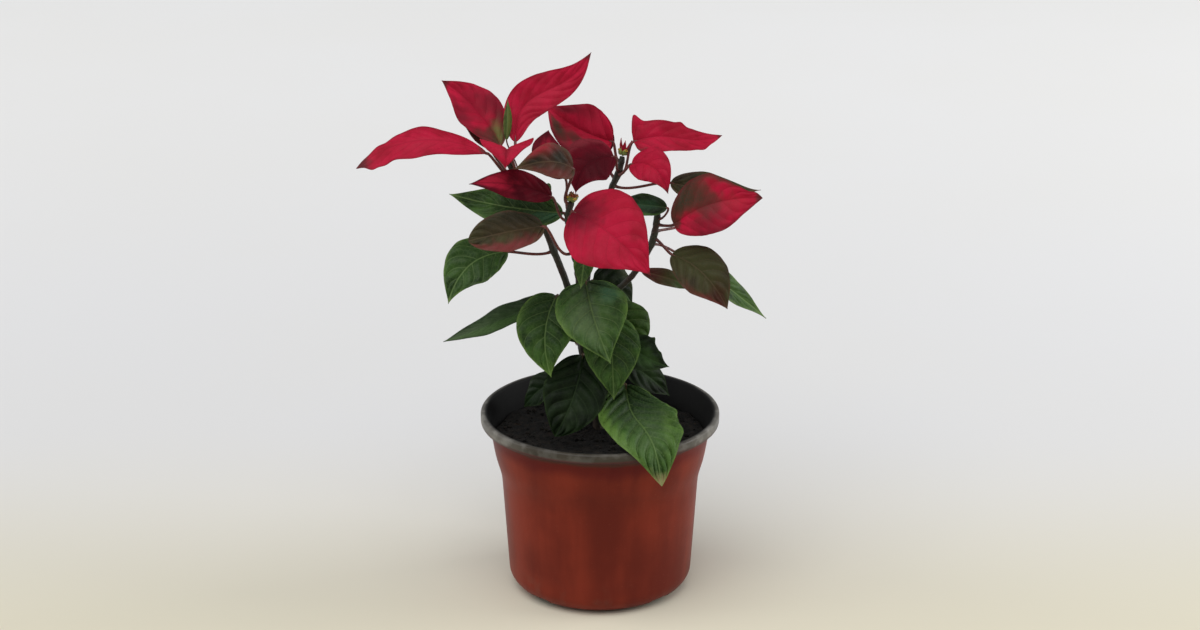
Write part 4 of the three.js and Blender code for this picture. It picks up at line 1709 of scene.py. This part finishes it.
@dataclass
class FlowerCluster:
    """The small true flowers in the middle of a crown, on the end of their branch.

    Each flower is a green cup with red lobes at its mouth and a yellow gland at its side. Where they sit is
    given in shares of the cup's radius and half height, and where a young bract starts and ends by its
    distance from the middle and its height, in mm. Angles are in radians.
    """

    name: str
    branch: Branch
    young: int = 0
    radius: float = 1.5
    height: float = 2.2
    mouth_start: float = 1.75
    mouth_rim: float = 0.12
    mouth_depth: float = 0.9
    lobe_count: int = 5
    lobe_radii: Span = (0.34, 0.06)
    lobe_length: float = 1.15
    lobe_round: float = 0.08
    lobe_lean: float = 0.35
    lobe_place: Span = (0.62, 1.98)
    gland_radii: Span = (0.62, 0.27)
    gland_scale: Point = (0.75, 1.15, 1.0)
    gland_lean: float = 1.25
    gland_place: Span = (0.93, 1.42)
    count: int = 4
    spread: float = 1.8
    sink: float = 0.4
    stagger: float = 0.3
    turn: float = 0.4
    seat: float = 0.3
    young_foot: Span = (1.0, 1.2)
    young_tip: Span = (3.6, 9.8)
    young_thickness: float = 0.4
    smooth_angle: float = 50.0

    def cup(self) -> Piece:
        """Models a flower's cup, with a sunken mouth.

        Returns:
            The cup.
        """
        cup = settled(started(
            "cup", bpy.ops.mesh.primitive_uv_sphere_add, segments=20, ring_count=14, radius=MM,
            location=(0, 0, self.height * MM), scale=(self.radius, self.radius, self.height)))
        for face in cup.data.polygons:
            face.select = face.center.z > self.height * self.mouth_start * MM
        bpy.ops.object.mode_set(mode="EDIT")
        bpy.ops.mesh.select_mode(type="FACE")
        bpy.ops.mesh.inset(thickness=self.mouth_rim * MM)
        bpy.ops.mesh.extrude_region_move(
            TRANSFORM_OT_translate={"value": (0, 0, -self.mouth_depth * MM)})
        bpy.ops.object.mode_set(mode="OBJECT")
        return cup

    def lobe(self, number: int) -> Piece:
        """Models one lobe at the mouth.

        Args:
            number: which of the lobes it is.

        Returns:
            The lobe.
        """
        angle = number * FULL_TURN / self.lobe_count
        out, up = self.lobe_place
        place = ray(angle) * (out * self.radius) + (0, 0, up * self.height)
        foot, end = self.lobe_radii
        lobe = settled(started(
            f"lobe_{number}", bpy.ops.mesh.primitive_cone_add, vertices=8, radius1=foot * MM,
            radius2=end * MM, depth=self.lobe_length * MM, location=place * MM,
            rotation=(self.lobe_lean * math.sin(angle), -self.lobe_lean * math.cos(angle), 0)))
        return modified(lobe, "BEVEL", width=self.lobe_round * MM, segments=2, limit_method="ANGLE")

    def gland(self) -> Piece:
        """Models the gland at a cup's side.

        Returns:
            The gland.
        """
        out, up = self.gland_place
        ring, lip = self.gland_radii
        gland = started(
            "gland", bpy.ops.mesh.primitive_torus_add, major_radius=ring * MM, minor_radius=lip * MM,
            major_segments=20, minor_segments=8, rotation=(0, self.gland_lean, 0),
            location=(out * self.radius * MM, 0, up * self.height * MM))
        gland.scale = self.gland_scale
        return settled(gland)

    def flower(self, palette: Palette) -> Piece:
        """Puts one flower together.

        Args:
            palette: the materials.

        Returns:
            The flower.
        """
        cup = dressed(self.cup(), palette.of(FlowerPart.CUP))
        lobes = [dressed(self.lobe(n), palette.of(FlowerPart.LOBE)) for n in range(self.lobe_count)]
        return joined([cup, *lobes, dressed(self.gland(), palette.of(FlowerPart.GLAND))])

    def build(self, palette: Palette) -> Piece:
        """Builds the cluster.

        Args:
            palette: the materials.

        Returns:
            The cluster.
        """
        axis = Vector(self.branch.tangent(1.0))
        foot = Vector(self.branch.at(1.0)) + axis * self.seat
        upright = Vector((0, 0, 1)).rotation_difference(axis).to_matrix().to_4x4()
        seat = Matrix.Translation(foot * MM) @ upright
        places = [np.zeros(3)]
        for number in range(self.count):
            place = ray(FULL_TURN * number / self.count + self.turn) * self.spread
            places.append(place + (0, 0, self.sink + self.stagger * (number % 2)))
        pattern = self.flower(palette)
        flowers = []
        for number, place in enumerate(places):
            outward = Matrix.Rotation(math.atan2(place[1], place[0]), 4, "Z")
            matrix = seat @ Matrix.Translation(Vector(place) * MM) @ outward
            flowers.append(copied(pattern, f"flower_{number}", matrix))
        removed(pattern)
        cluster = joined([*flowers, *self.young_bracts(seat, palette)])
        cluster.name = f"grown_buds_{self.name}"
        return finished(cluster, self.smooth_angle, f"buds_{self.name}")

    def young_bracts(self, seat: Matrix, palette: Palette) -> list[Piece]:
        """Makes the slender young bracts that stand between the flowers.

        Args:
            seat: where the cluster sits.
            palette: the materials.

        Returns:
            The young bracts.
        """
        bracts = []
        for number in range(self.young):
            lean = ray(FULL_TURN * number / self.young + self.turn)
            base, tip = (seat @ Vector((lean * out + (0, 0, up)) * MM) / MM
                         for out, up in (self.young_foot, self.young_tip))
            face = seat.to_3x3() @ Vector(-lean)
            bract = Leaf(f"young_{self.name}_{number}", "", 0, tuple(base), tuple(tip), tuple(face),
                         Skin.RED_BRACT, width=2.6, widest=0.45, lift=-0.6, fold=22, wave=0.1)
            blade = dressed(bract.blade(f"young_{number}"), palette.of(bract.skin, Face.UPPER))
            bracts.append(modified(blade, "SOLIDIFY", thickness=self.young_thickness * MM, offset=0.0))
        return bracts


# ---------------------------------------------------------------- the plant's numbers

BRANCHES = {
    "main": Branch(
        [(0, 0, 62), (0, 0, 78), (0, 0, 94), (-4.5, 0, 119), (-10, 0, 148), (-14, 0, 170)], (3.3, 2.3)),
    "left": Branch(
        [(-13, 0, 166), (-20, -1, 190), (-26, -3, 207), (-31, -5, 221), (-38, -7, 238), (-46, -9, 253),
         (-52, -10, 265)], (2.3, 1.6)),
    "front": Branch(
        [(-12, 0, 160), (-12, -5, 177), (-13, -14, 202), (-17, -24, 223), (-18, -31, 238),
         (-16, -34, 248)], (2.0, 1.5)),
    "back": Branch(
        [(-11, 0, 158), (-9, 5, 175), (-6, 13, 195), (0, 21, 218), (6, 27, 235), (11, 29, 246),
         (13, 30, 255)], (2.0, 1.5)),
    "right": Branch(
        [(-9.5, 0, 146), (-6, 2, 160), (2, 2, 174), (10, -1, 184), (18, -4, 193), (25, -8, 205),
         (30, -11, 217), (33, -14, 235)], (2.2, 1.6)),
}

RED, SHADED, GREEN = Skin.RED_BRACT, Skin.SHADED_BRACT, Skin.GREEN_LEAF
DARK, TURNING = Skin.DARK_LEAF, Skin.TURNING_LEAF


def tipped(length: float = 0.09) -> Patch:
    """Gives the dark dry end that most bracts have."""
    return Patch(Tone.TIP, 1.0, 0.0, length, 9.0, 0.9)


LEAVES = [
    # crown of the left branch
    Leaf("bract_left_far", "left", 0.9, (-64, -9, 269), (-138, -10, 260), (0, -0.5, 0.87), RED, width=22,
         widest=0.5, lift=17, fold=-8, heel=0.7, point=0.85,
         lobes=((0.76, -1, 0.3), (0.76, 1, -0.25), (0.82, -1, 0.3), (0.89, -1, 0.7), (0.89, 1, -0.3)),
         patches=(
             Patch(Tone.CRIMSON, 0.4, -0.2, 0.4, 0.7, 0.6), Patch(Tone.WINE, 0.45, 1.0, 0.6, 0.22, 0.6),
             Patch(Tone.BROWN, 0.0, 0.0, 0.07, 9, 0.7), tipped(0.13))),
    Leaf("bract_left_up", "left", 0.94, (-56, -5, 272), (-90, 14, 305), (0.3, -0.8, 0.5), RED, width=27,
         widest=0.48, lift=-3, bend=5, heel=0.7, point=1.1,
         patches=(
             Patch(Tone.WINE, 0.5, -0.9, 0.5, 0.45, 0.65), Patch(Tone.WINE, 0.35, 0.8, 0.35, 0.45, 0.65),
             Patch(Tone.WINE, 0.6, 0.1, 0.4, 0.9, 0.55), Patch(Tone.BROWN, 0.08, -0.3, 0.22, 1.0, 0.9),
             Patch(Tone.OLIVE, 0.06, 0.5, 0.18, 0.7, 0.9),
             Patch(Tone.PALE_OLIVE, 0.14, 0.3, 0.12, 0.25, 0.7), tipped())),
    Leaf("bract_left_tall", "left", 0.985, (-48, -4, 274), (-5, 16, 321), (-0.2, -0.9, 0.3), RED, width=23,
         widest=0.4, lift=-4, bend=-6.5, snake=-5, heel=0.6, point=1.1,
         patches=(
             Patch(Tone.CRIMSON, 0.45, 0.2, 0.35, 0.6, 0.6), Patch(Tone.WINE, 0.12, -0.6, 0.16, 0.6, 0.5),
             tipped(0.1))),
    Leaf("bract_left_front", "left", 0.95, (-52, -15, 272), (-52, -57, 275), (0, 0.1, 1), RED, width=32,
         widest=0.42, lift=5, fold=20,
         patches=(
             Patch(Tone.CRIMSON, 0.55, 0.0, 0.4, 0.8, 0.7), Patch(Tone.WINE, 0.5, 0.0, 0.6, 0.2, 0.4),
             Patch(Tone.BROWN, 0.0, 0.0, 0.1, 9, 0.7))),
    Leaf("leaf_left_young", "left", 0.9, (-53, -3, 275), (-52, -4, 299), (0.3, -1, 0), GREEN, width=5,
         widest=0.5, lift=1, wave=0,
         patches=(
             Patch(Tone.PALE_OLIVE, 0.4, 0.2, 0.6, 0.6, 0.9), Patch(Tone.BROWN, 0.95, 0.0, 0.2, 2.0, 0.7),
             Patch(Tone.OLIVE, 0.4, -0.9, 0.6, 0.5, 0.9))),
    Leaf("bract_left_back", "left", 0.82, (-62, 2, 268), (-80, 34, 286), (0, -0.2, 1), SHADED, width=20,
         lift=5,
         patches=(Patch(Tone.BROWN, 0.1, 0.0, 0.35, 9, 0.8),)),
    Leaf("leaf_left_low", "left", 0.42, (-53, -12, 211), (-86, -36, 188), (-0.2, -0.8, 0.5), GREEN,
         width=30, widest=0.42, lift=5, bend=7,
         patches=(
             Patch(Tone.DEEP_GREEN, 0.3, 0.3, 0.5, 1.3, 0.65),
             Patch(Tone.FRESH, 0.65, -0.6, 0.25, 0.4, 0.2), tipped(0.06))),
    Leaf("leaf_left_behind", "left", 0.62, (-36, 6, 236), (-46, 42, 228), (0, 0.1, 1), GREEN, width=24,
         lift=5),

    # crown of the front branch
    Leaf("bract_front_heart", "front", 0.9, (-15, -42, 245), (28, -76, 219), (0, -0.9, 0.4), RED, width=47,
         widest=0.38, lift=5, bend=-3, heel=0.42, fold=5,
         patches=(
             Patch(Tone.SCARLET, 0.35, -0.75, 0.35, 0.35, 0.5),
             Patch(Tone.CRIMSON, 0.5, 0.5, 0.45, 0.6, 0.4), Patch(Tone.WINE, 0.14, -0.1, 0.2, 0.7, 0.75),
             Patch(Tone.WINE, 0.03, 0.0, 0.1, 1.1, 0.75), tipped(0.05))),
    Leaf("bract_front_left", "front", 0.86, (-27, -34, 251), (-73, -42, 261), (0, -0.75, 0.6), SHADED,
         width=18, widest=0.42, lift=4, bend=2,
         patches=(
             Patch(Tone.CRIMSON, 0.75, 0.1, 0.28, 0.9, 0.95),
             Patch(Tone.MAROON, 0.15, 0.0, 0.25, 0.9, 0.6))),
    Leaf("bract_front_dark", "front", 0.985, (-15, -41, 270), (-47, -62, 276), (0, -0.8, 0.6), TURNING,
         width=22, widest=0.35, lift=5, bend=2, heel=0.4,
         patches=(
             Patch(Tone.WINE, 0.4, 0.0, 0.7, 1.6, 0.65), Patch(Tone.ROSE, 0.5, -0.8, 0.5, 0.45, 0.3),
             Patch(Tone.DEEP_BROWN, 0.7, 0.1, 0.17, 0.6, 1.0),
             Patch(Tone.DEEP_BROWN, 0.3, 0.2, 0.19, 0.7, 1.0), Patch(Tone.BROWN, 0.5, -0.2, 0.35, 0.3, 0.6),
             Patch(Tone.CRIMSON, 0.6, 1.0, 0.24, 0.5, 0.6))),
    Leaf("bract_front_small", "front", 0.93, (-20, -26, 260), (-29, -8, 282), (0, -0.9, 0.3), SHADED,
         width=17, widest=0.55, lift=3, point=1.0, bend=-5,
         patches=(
             Patch(Tone.CRIMSON, 0.5, 0.15, 0.35, 0.8, 0.85), Patch(Tone.MAROON, 0.92, 0.0, 0.1, 2.0, 0.8),
             Patch(Tone.MAROON, 0.6, -1.0, 0.4, 0.25, 0.6))),
    Leaf("leaf_front_upper", "front", 0.72, (-21, -20, 237), (-86, -4, 243), (0, -0.7, 0.7), GREEN,
         width=26, lift=4, bend=-4,
         patches=(
             Patch(Tone.DEEP_GREEN, 0.32, 0.0, 0.4, 1.2, 0.85),
             # The blue-green patch is a painted sheen.
             Patch(Tone.BLUE_GREEN, 0.1, -0.4, 0.14, 0.4, 0.6))),
    Leaf("leaf_front_brown", "front", 0.6, (-32, -38, 235), (-73, -58, 233), (0, -0.8, 0.6), TURNING,
         width=24, widest=0.55, lift=5, bend=-1, point=0.6,
         patches=(
             Patch(Tone.BROWN, 0.4, 0.1, 0.5, 0.7, 0.6), Patch(Tone.ROSE, 0.55, -0.85, 0.6, 0.45, 0.75),
             Patch(Tone.DEEP_BROWN, 0.3, 0.75, 0.5, 0.6, 0.8),
             Patch(Tone.MAROON, 0.2, -0.4, 0.2, 0.3, 0.4))),
    Leaf("leaf_front_inner", "front", 0.42, (-8, -18, 216), (-11, -30, 195), (0, -0.9, 0.3), GREEN,
         Stalk.GREEN, width=12, lift=2,
         patches=(Patch(Tone.GREEN, 0.5, 0.0, 0.8, 2.0, 0.5),)),
    Leaf("leaf_front_hidden", "front", 0.55, (2, 0, 206), (26, 34, 200), (0, -0.1, 1), GREEN, width=20,
         lift=5),

    # crown of the back branch
    Leaf("bract_back_top", "back", 0.97, (7, 33, 263), (-31, 44, 282), (0, -0.85, 0.5), RED, width=32,
         widest=0.4, lift=4, fold=14, heel=0.4, bend=-4,
         patches=(
             Patch(Tone.WINE, 0.6, 0.75, 0.45, 0.4, 0.7), Patch(Tone.CRIMSON, 0.3, 0.3, 0.25, 0.6, 0.5),
             Patch(Tone.ROSE, 0.45, -0.85, 0.45, 0.3, 0.6),
             Patch(Tone.GREEN_BROWN, 0.68, -0.6, 0.18, 0.3, 0.95),
             Patch(Tone.BROWN, 0.4, -0.42, 0.24, 0.2, 0.85), Patch(Tone.MAROON, 0.8, 0.5, 0.2, 0.5, 0.5),
             Patch(Tone.MAROON, 0.16, -0.5, 0.18, 0.24, 0.7),
             Patch(Tone.MAROON, 0.55, -1.05, 0.45, 0.16, 0.7), tipped(0.05))),
    Leaf("bract_back_hanging", "back", 0.92, (8, 20, 258), (-14, 4, 241), (-0.2, -0.85, 0.4), SHADED,
         width=30, widest=0.45, lift=5, bend=6, heel=0.4,
         patches=(
             Patch(Tone.MAROON, 0.4, -0.3, 0.6, 1.0, 0.85), Patch(Tone.ROSE, 0.4, 1.0, 0.6, 0.3, 0.8),
             Patch(Tone.WINE, 0.8, 0.2, 0.25, 0.6, 0.6))),
    Leaf("bract_back_right", "back", 0.91, (19.5, 30, 264), (71, 42, 264), (0, -0.8, 0.55), RED, width=20,
         widest=0.16, lift=3, bend=1, snake=-2, heel=0.3, point=0.9,
         lobes=((0.07, -1, 0.7), (0.5, -1, 0.2), (0.76, 1, 0.3)),
         patches=(
             Patch(Tone.BROWN, 0.1, 0.95, 0.22, 0.35, 0.8), Patch(Tone.CRIMSON, 0.5, 0.0, 0.4, 0.5, 0.5),
             Patch(Tone.WINE, 0.7, -0.9, 0.25, 0.3, 0.5), tipped(0.07))),
    Leaf("bract_back_heart", "back", 0.9, (18, 21, 253), (39, 2, 241), (0, -0.9, 0.4), RED, width=22,
         lift=5, bend=-6, heel=0.4,
         patches=(
             Patch(Tone.SCARLET, 0.4, 0.0, 0.3, 0.7, 0.5), tipped(0.12))),
    Leaf("leaf_back_right", "back", 0.83, (41, 30, 239), (94, 38, 232), (0, -0.8, 0.6), TURNING, width=20,
         widest=0.35, lift=2, bend=3, point=1.6,
         patches=(Patch(Tone.DEEP_GREEN, 0.6, 0.0, 0.4, 2.0, 0.7),)),
    Leaf("bract_back_hidden", "back", 0.87, (3, 38, 254), (-18, 78, 256), (0, -0.1, 1), SHADED, width=26,
         lift=6,
         patches=(Patch(Tone.CRIMSON, 0.6, 0.3, 0.35, 0.7, 0.6),)),
    Leaf("leaf_back_low", "back", 0.6, (6, 32, 196), (16, 66, 182), (0, 0.3, 1), GREEN, width=24, lift=5),

    # crown of the right branch
    Leaf("bract_right_large", "right", 0.93, (42, -17, 229), (91, -36, 251), (0, -0.85, 0.5), RED, width=35,
         widest=0.5, lift=5, bend=-4, heel=0.45, point=0.95,
         lobes=((0.62, -1, -0.15), (0.69, -1, -0.2), (0.76, -1, -0.3), (0.83, -1, -0.3), (0.89, -1, -0.35)),
         patches=(
             # The wine patch at along 0.4 darkens the lower side of the bract as painted shade.
             Patch(Tone.SCARLET, 0.75, 0.1, 0.2, 0.6, 0.6), Patch(Tone.WINE, 0.4, 0.6, 0.35, 0.4, 0.65),
             Patch(Tone.WINE, 0.55, 1.0, 0.5, 0.16, 0.7), Patch(Tone.BROWN, 0.02, 0.1, 0.08, 0.9, 0.85),
             Patch(Tone.BROWN, 0.44, -0.1, 0.18, 0.45, 0.85),
             Patch(Tone.GREEN_BROWN, 0.22, -0.62, 0.36, 0.66, 1.0),
             Patch(Tone.ROSE, 0.58, 0.2, 0.25, 0.4, 0.35), Patch(Tone.BROWN, 0.5, -1.0, 0.5, 0.16, 0.85),
             tipped(0.08))),
    Leaf("leaf_right_inner", "right", 0.97, (38, -20, 240), (8, -14, 241), (0, -0.85, 0.5), DARK, width=13,
         lift=2,
         patches=(
             # The blue-green patch is a painted sheen.
             Patch(Tone.BLUE_GREEN, 0.4, 0.0, 0.4, 0.7, 0.5), Patch(Tone.FRESH, 0.4, -1.0, 0.5, 0.3, 0.7))),
    Leaf("leaf_right_olive", "right", 0.84, (41, -17, 211), (72, -42, 187), (0, -0.85, 0.45), TURNING,
         width=28, widest=0.48, lift=5, bend=-4, heel=0.55, point=1.1,
         patches=(
             Patch(Tone.OLIVE, 0.35, -0.2, 0.5, 0.9, 0.9), Patch(Tone.MAROON, 0.88, 0.3, 0.2, 0.9, 0.75),
             Patch(Tone.ROSE, 0.7, 0.95, 0.4, 0.25, 0.5), tipped(0.05))),
    Leaf("leaf_right_low", "right", 0.8, (48, 4, 202), (98, 30, 155), (0, -0.7, 0.7), GREEN, width=16,
         lift=4, bend=1, point=1.5,
         patches=(
             Patch(Tone.FRESH, 0.55, 0.0, 0.4, 0.8, 0.35), tipped(0.05))),
    Leaf("leaf_right_narrow", "right", 0.66, (24, -12, 199), (58, -6, 186), (0, -0.8, 0.6), TURNING,
         width=10, lift=2,
         patches=(
             Patch(Tone.MAROON, 0.1, 0.0, 0.35, 2.0, 0.9), Patch(Tone.GREEN, 0.85, 0.0, 0.4, 2.0, 1.0))),
    Leaf("leaf_right_hidden", "right", 0.88, (47, 4, 222), (66, 40, 216), (0, -0.1, 1), GREEN, width=24,
         lift=5),

    # leaves of the main stem and the fork, from the top down
    Leaf("leaf_fork_right", "back", 0.22, (-4, 18, 183), (19, 30, 163), (0, -0.7, 0.7), DARK, Stalk.GREEN,
         width=24, lift=4, bend=-3, heel=0.4,
         patches=(
             Patch(Tone.FRESH, 0.6, 0.5, 0.4, 0.6, 0.8), Patch(Tone.OLIVE, 0.6, -0.8, 0.4, 0.4, 0.6))),
    Leaf("leaf_middle_front", "main", 0.9, (-8, -14, 193), (6, -50, 157), (0, -0.8, 0.6), GREEN,
         Stalk.GREEN, width=42, widest=0.38, lift=5, bend=2, heel=0.42, puckered=1.3,
         patches=(
             # The blue-green and grey-green patches are a painted sheen, and the deep green at the base is
             # painted shadow where the leaf meets the stem.
             Patch(Tone.BLUE_GREEN, 0.24, -0.6, 0.16, 0.35, 0.8),
             Patch(Tone.FRESH, 0.7, 0.0, 0.35, 0.9, 0.55),
             Patch(Tone.DEEP_GREEN, 0.05, -0.3, 0.14, 0.9, 0.85),
             Patch(Tone.GREY_GREEN, 0.42, 0.3, 0.4, 0.7, 0.5),
             Patch(Tone.DEEP_GREEN, 0.3, 0.0, 0.3, 0.22, 0.4),
             Patch(Tone.LIME, 0.5, -0.97, 0.3, 0.14, 0.45), Patch(Tone.LIME, 0.5, 0.97, 0.35, 0.14, 0.4))),
    Leaf("leaf_middle_left_long", "main", 0.94, (-26, 8, 177), (-93, 36, 138), (0, -0.55, 0.8), DARK,
         Stalk.GREEN, width=17, lift=3, bend=-3.5, point=1.2,
         patches=(
             Patch(Tone.GREEN, 0.55, 0.0, 0.6, 1.6, 0.6),
             # The grey-green patch is a painted sheen.
             Patch(Tone.GREY_GREEN, 0.85, -0.2, 0.3, 0.9, 0.45),
             Patch(Tone.FRESH, 0.5, -0.6, 0.5, 0.5, 0.4))),
    Leaf("leaf_middle_left", "main", 0.86, (-25, -6, 182), (-28, -30, 141), (0, -0.85, 0.5), GREEN,
         Stalk.GREEN, width=34, lift=6, bend=5, heel=0.4, puckered=1.2,
         patches=(
             Patch(Tone.DEEP_GREEN, 0.2, 0.2, 0.32, 1.2, 0.8), Patch(Tone.LIME, 0.95, 0.0, 0.16, 2.0, 0.55),
             Patch(Tone.LIME, 0.6, 0.95, 0.4, 0.15, 0.4))),
    Leaf("leaf_middle_right", "right", 0.2, (5, 5, 171), (24, 22, 138), (0, -0.85, 0.5), GREEN, Stalk.GREEN,
         width=24, lift=4, bend=-4,
         patches=(Patch(Tone.DEEP_GREEN, 0.3, 0.2, 0.4, 0.9, 0.6),)),
    Leaf("leaf_middle_back", "main", 0.88, (-6, 16, 160), (2, 58, 158), (0, -0.1, 1), GREEN, Stalk.GREEN,
         width=28, lift=6),
    Leaf("leaf_low_centre", "main", 0.77, (6, -10, 171), (8, -30, 127), (0, -0.85, 0.5), GREEN, Stalk.GREEN,
         width=33, widest=0.36, lift=5, heel=0.4, puckered=1.2,
         patches=(
             Patch(Tone.DEEP_GREEN, 0.25, 0.0, 0.3, 1.2, 0.5), Patch(Tone.FRESH, 0.8, 0.0, 0.25, 1.0, 0.5))),
    Leaf("leaf_low_right", "main", 0.7, (14, -4, 155), (40, -16, 142), (0, -0.75, 0.6), DARK, Stalk.GREEN,
         width=22, lift=4, bend=3.5, lobes=((0.5, -1, 0.2), (0.8, -1, 0.25)),
         patches=(Patch(Tone.GREEN, 0.5, 0.1, 0.5, 0.9, 0.7),)),
    Leaf("leaf_low_back", "main", 0.8, (-14, 14, 146), (-21, 52, 148), (0, -0.1, 1), GREEN, Stalk.GREEN,
         width=28, lift=6),
    Leaf("leaf_low_dark", "main", 0.62, (-10, -10, 147), (-26, -34, 106), (0, -0.85, 0.5), DARK,
         Stalk.GREEN, width=37, widest=0.45, lift=5, point=0.8, bend=-3, puckered=1.3,
         patches=(
             Patch(Tone.DEEP_GREEN, 0.3, 0.0, 0.4, 1.0, 0.4),
             # The grey-green patch is a painted sheen.
             Patch(Tone.GREY_GREEN, 0.8, -0.2, 0.25, 0.8, 0.3))),
    Leaf("leaf_foot_right", "main", 0.56, (11, 4, 140), (41, 14, 112), (0, -0.7, 0.7), DARK, Stalk.GREEN,
         width=20, lift=4,
         patches=(Patch(Tone.GREEN, 0.5, -0.2, 0.45, 0.8, 0.5),)),
    Leaf("leaf_foot_back", "main", 0.66, (4, 12, 133), (14, 50, 132), (0, -0.1, 1), GREEN, Stalk.GREEN,
         width=26, lift=6),
    Leaf("leaf_foot_behind", "main", 0.44, (-10, 14, 114), (-26, 46, 104), (0, 0.1, 1), DARK, Stalk.GREEN,
         width=24, lift=5),
    Leaf("leaf_foot_left", "main", 0.52, (-22, 6, 128), (-45, 24, 101), (0, -0.7, 0.7), DARK, Stalk.GREEN,
         width=18, lift=4,
         patches=(Patch(Tone.DEEP_GREEN, 0.6, 0.0, 0.5, 1.2, 0.7),)),
    Leaf("leaf_front_drooping", "main", 0.48, (15, -12, 129), (35, -74, 92), (0, -0.4, 0.9), GREEN,
         Stalk.GREEN, width=43, widest=0.46, lift=9, sway=-5, bend=1.5, snake=1.5, heel=0.45, point=0.9,
         fold=4, puckered=1.8, lobes=((0.45, -1, 0.1), (0.7, -1, 0.12)),
         patches=(
             # The deep green at the base is painted shadow from the leaves above it, the three small
             # deep-green patches from along 0.38 are painted shade in the folds, and the grey-green patch is
             # a painted sheen.
             Patch(Tone.DEEP_GREEN, 0.2, -0.2, 0.3, 1.2, 0.85),
             Patch(Tone.LIME, 0.55, 0.9, 0.45, 0.22, 0.6),
             Patch(Tone.DEEP_GREEN, 0.5, -0.6, 0.14, 0.4, 0.6),
             Patch(Tone.FRESH, 0.75, 0.2, 0.25, 0.9, 0.5), Patch(Tone.GREY_GREEN, 0.6, 0.1, 0.28, 0.7, 0.2),
             Patch(Tone.LIME, 0.75, -0.8, 0.28, 0.35, 0.4),
             Patch(Tone.DEEP_GREEN, 0.38, 0.35, 0.09, 0.3, 0.5),
             Patch(Tone.DEEP_GREEN, 0.6, -0.2, 0.08, 0.25, 0.4),
             Patch(Tone.DEEP_GREEN, 0.7, 0.4, 0.07, 0.2, 0.35), Patch(Tone.STRAW, 1.0, 0.0, 0.07, 9, 0.8))),
]


# ---------------------------------------------------------------- stage


@dataclass
class Stage:
    """A plain pale floor, soft lights and the camera.

    The lamps' places and sizes are in metres, the camera's in mm, and turns are in degrees.
    """

    distance: float = 1670.105
    height: float = 778.378
    pitch: float = 20.073
    focal_pixels: float = 3066.48
    frame_width: float = 1200.0
    sensor: float = 36.0
    overhead_power: float = 1.75
    overhead_turn: Span = (24.0, -10.0)
    overhead_softness: float = 55.0
    lamp_aim: Point = (0.0, 0.0, 0.17)
    lamp_size: float = 1.5
    side_power: float = 14.5
    left_place: Point = (-2.2, 0.15, 0.9)
    right_place: Point = (2.2, 0.2, 0.9)
    right_share: float = 1.9
    room_power: float = 0.32
    room_colour: Colour = (0.98, 0.99, 1.0, 1.0)
    floor_size: float = 30.0
    floor_pale: Colour = srgb(216, 216, 217)
    floor_far: Colour = srgb(233, 233, 233)
    floor_warm: Colour = srgb(219, 213, 192)
    floor_shine: float = 0.05

    def build(self) -> None:
        """Sets the camera, the lights and the floor."""
        self.camera()
        self.lights()
        self.floor()

    def camera(self) -> None:
        """Places the camera in front, looking a little down."""
        camera = started(
            "Camera", bpy.ops.object.camera_add, location=(0, -self.distance * MM, self.height * MM),
            rotation=(math.radians(90 - self.pitch), 0, 0))
        camera.data.sensor_width = self.sensor
        camera.data.lens = self.sensor * self.focal_pixels / self.frame_width
        bpy.context.scene.camera = camera
        bpy.context.scene.view_settings.view_transform = "Standard"

    def lamp(self, name: str, place: Point, power: float) -> None:
        """Adds one soft square lamp that looks at the plant.

        Args:
            name: the lamp's name.
            place: where it stands.
            power: its strength in watts.
        """
        aim = Vector(self.lamp_aim) - Vector(place)
        lamp = started(
            name, bpy.ops.object.light_add, type="AREA", location=place,
            rotation=aim.to_track_quat("-Z", "Y").to_euler())
        lamp.data.size = self.lamp_size
        lamp.data.energy = power

    def lights(self) -> None:
        """Adds the soft overhead light, two side lamps and the even light of the room."""
        turn = [math.radians(angle) for angle in self.overhead_turn]
        overhead = started("overhead", bpy.ops.object.light_add, type="SUN", rotation=(*turn, 0))
        overhead.data.energy = self.overhead_power
        overhead.data.angle = math.radians(self.overhead_softness)
        self.lamp("left_side", self.left_place, self.side_power)
        self.lamp("right_side", self.right_place, self.side_power * self.right_share)
        world = bpy.data.worlds.new("room")
        bpy.context.scene.world = world
        world.use_nodes = True
        room = world.node_tree.nodes["Background"].inputs
        room["Color"].default_value = self.room_colour
        room["Strength"].default_value = self.room_power

    def floor(self) -> None:
        """Lays the floor, paler at the back and a little warmer towards the front."""
        floor = started("floor", bpy.ops.mesh.primitive_plane_add, size=self.floor_size)
        graph = Graph("pale_floor")
        depth = graph.split(graph.place)[1]
        cloud = graph.noise(3.0).eased(0.3, 0.7) * 0.06
        colour = graph.mix(depth.eased(0.0, 1.4), self.floor_pale, self.floor_far)
        colour = graph.mix(depth.faded(-0.12, 0.26), colour, self.floor_warm)
        dressed(floor, graph.surface({
            "Base Color": graph.mix(cloud, colour, self.floor_warm),
            "Roughness": graph.noise(40.0).spread(0.86, 0.96),
            "Specular IOR Level": self.floor_shine,
        }))


# ---------------------------------------------------------------- making it all


def write_sizes() -> None:
    """Brings the view layer up to date."""
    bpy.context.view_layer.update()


def main() -> None:
    """Builds the stage, the pot, the soil, the stem, the leaves and the flowers."""
    logging.basicConfig(level=logging.INFO, format="%(name)s: %(message)s")
    Stage().build()
    palette = Palette()
    for leaf in LEAVES:
        BRANCHES[leaf.on].nodes.append(leaf.at)
    pot = Pot()
    pot.build(PotFinish())
    Soil(pot).build(SoilFinish())
    Stem(BRANCHES).build(BarkFinish())
    for leaf in LEAVES:
        leaf.build(BRANCHES, palette)
    for name in ("left", "front", "back", "right"):
        FlowerCluster(name, BRANCHES[name], young=3 if name == "back" else 0).build(palette)
    write_sizes()


if __name__ == "__main__":
    main()
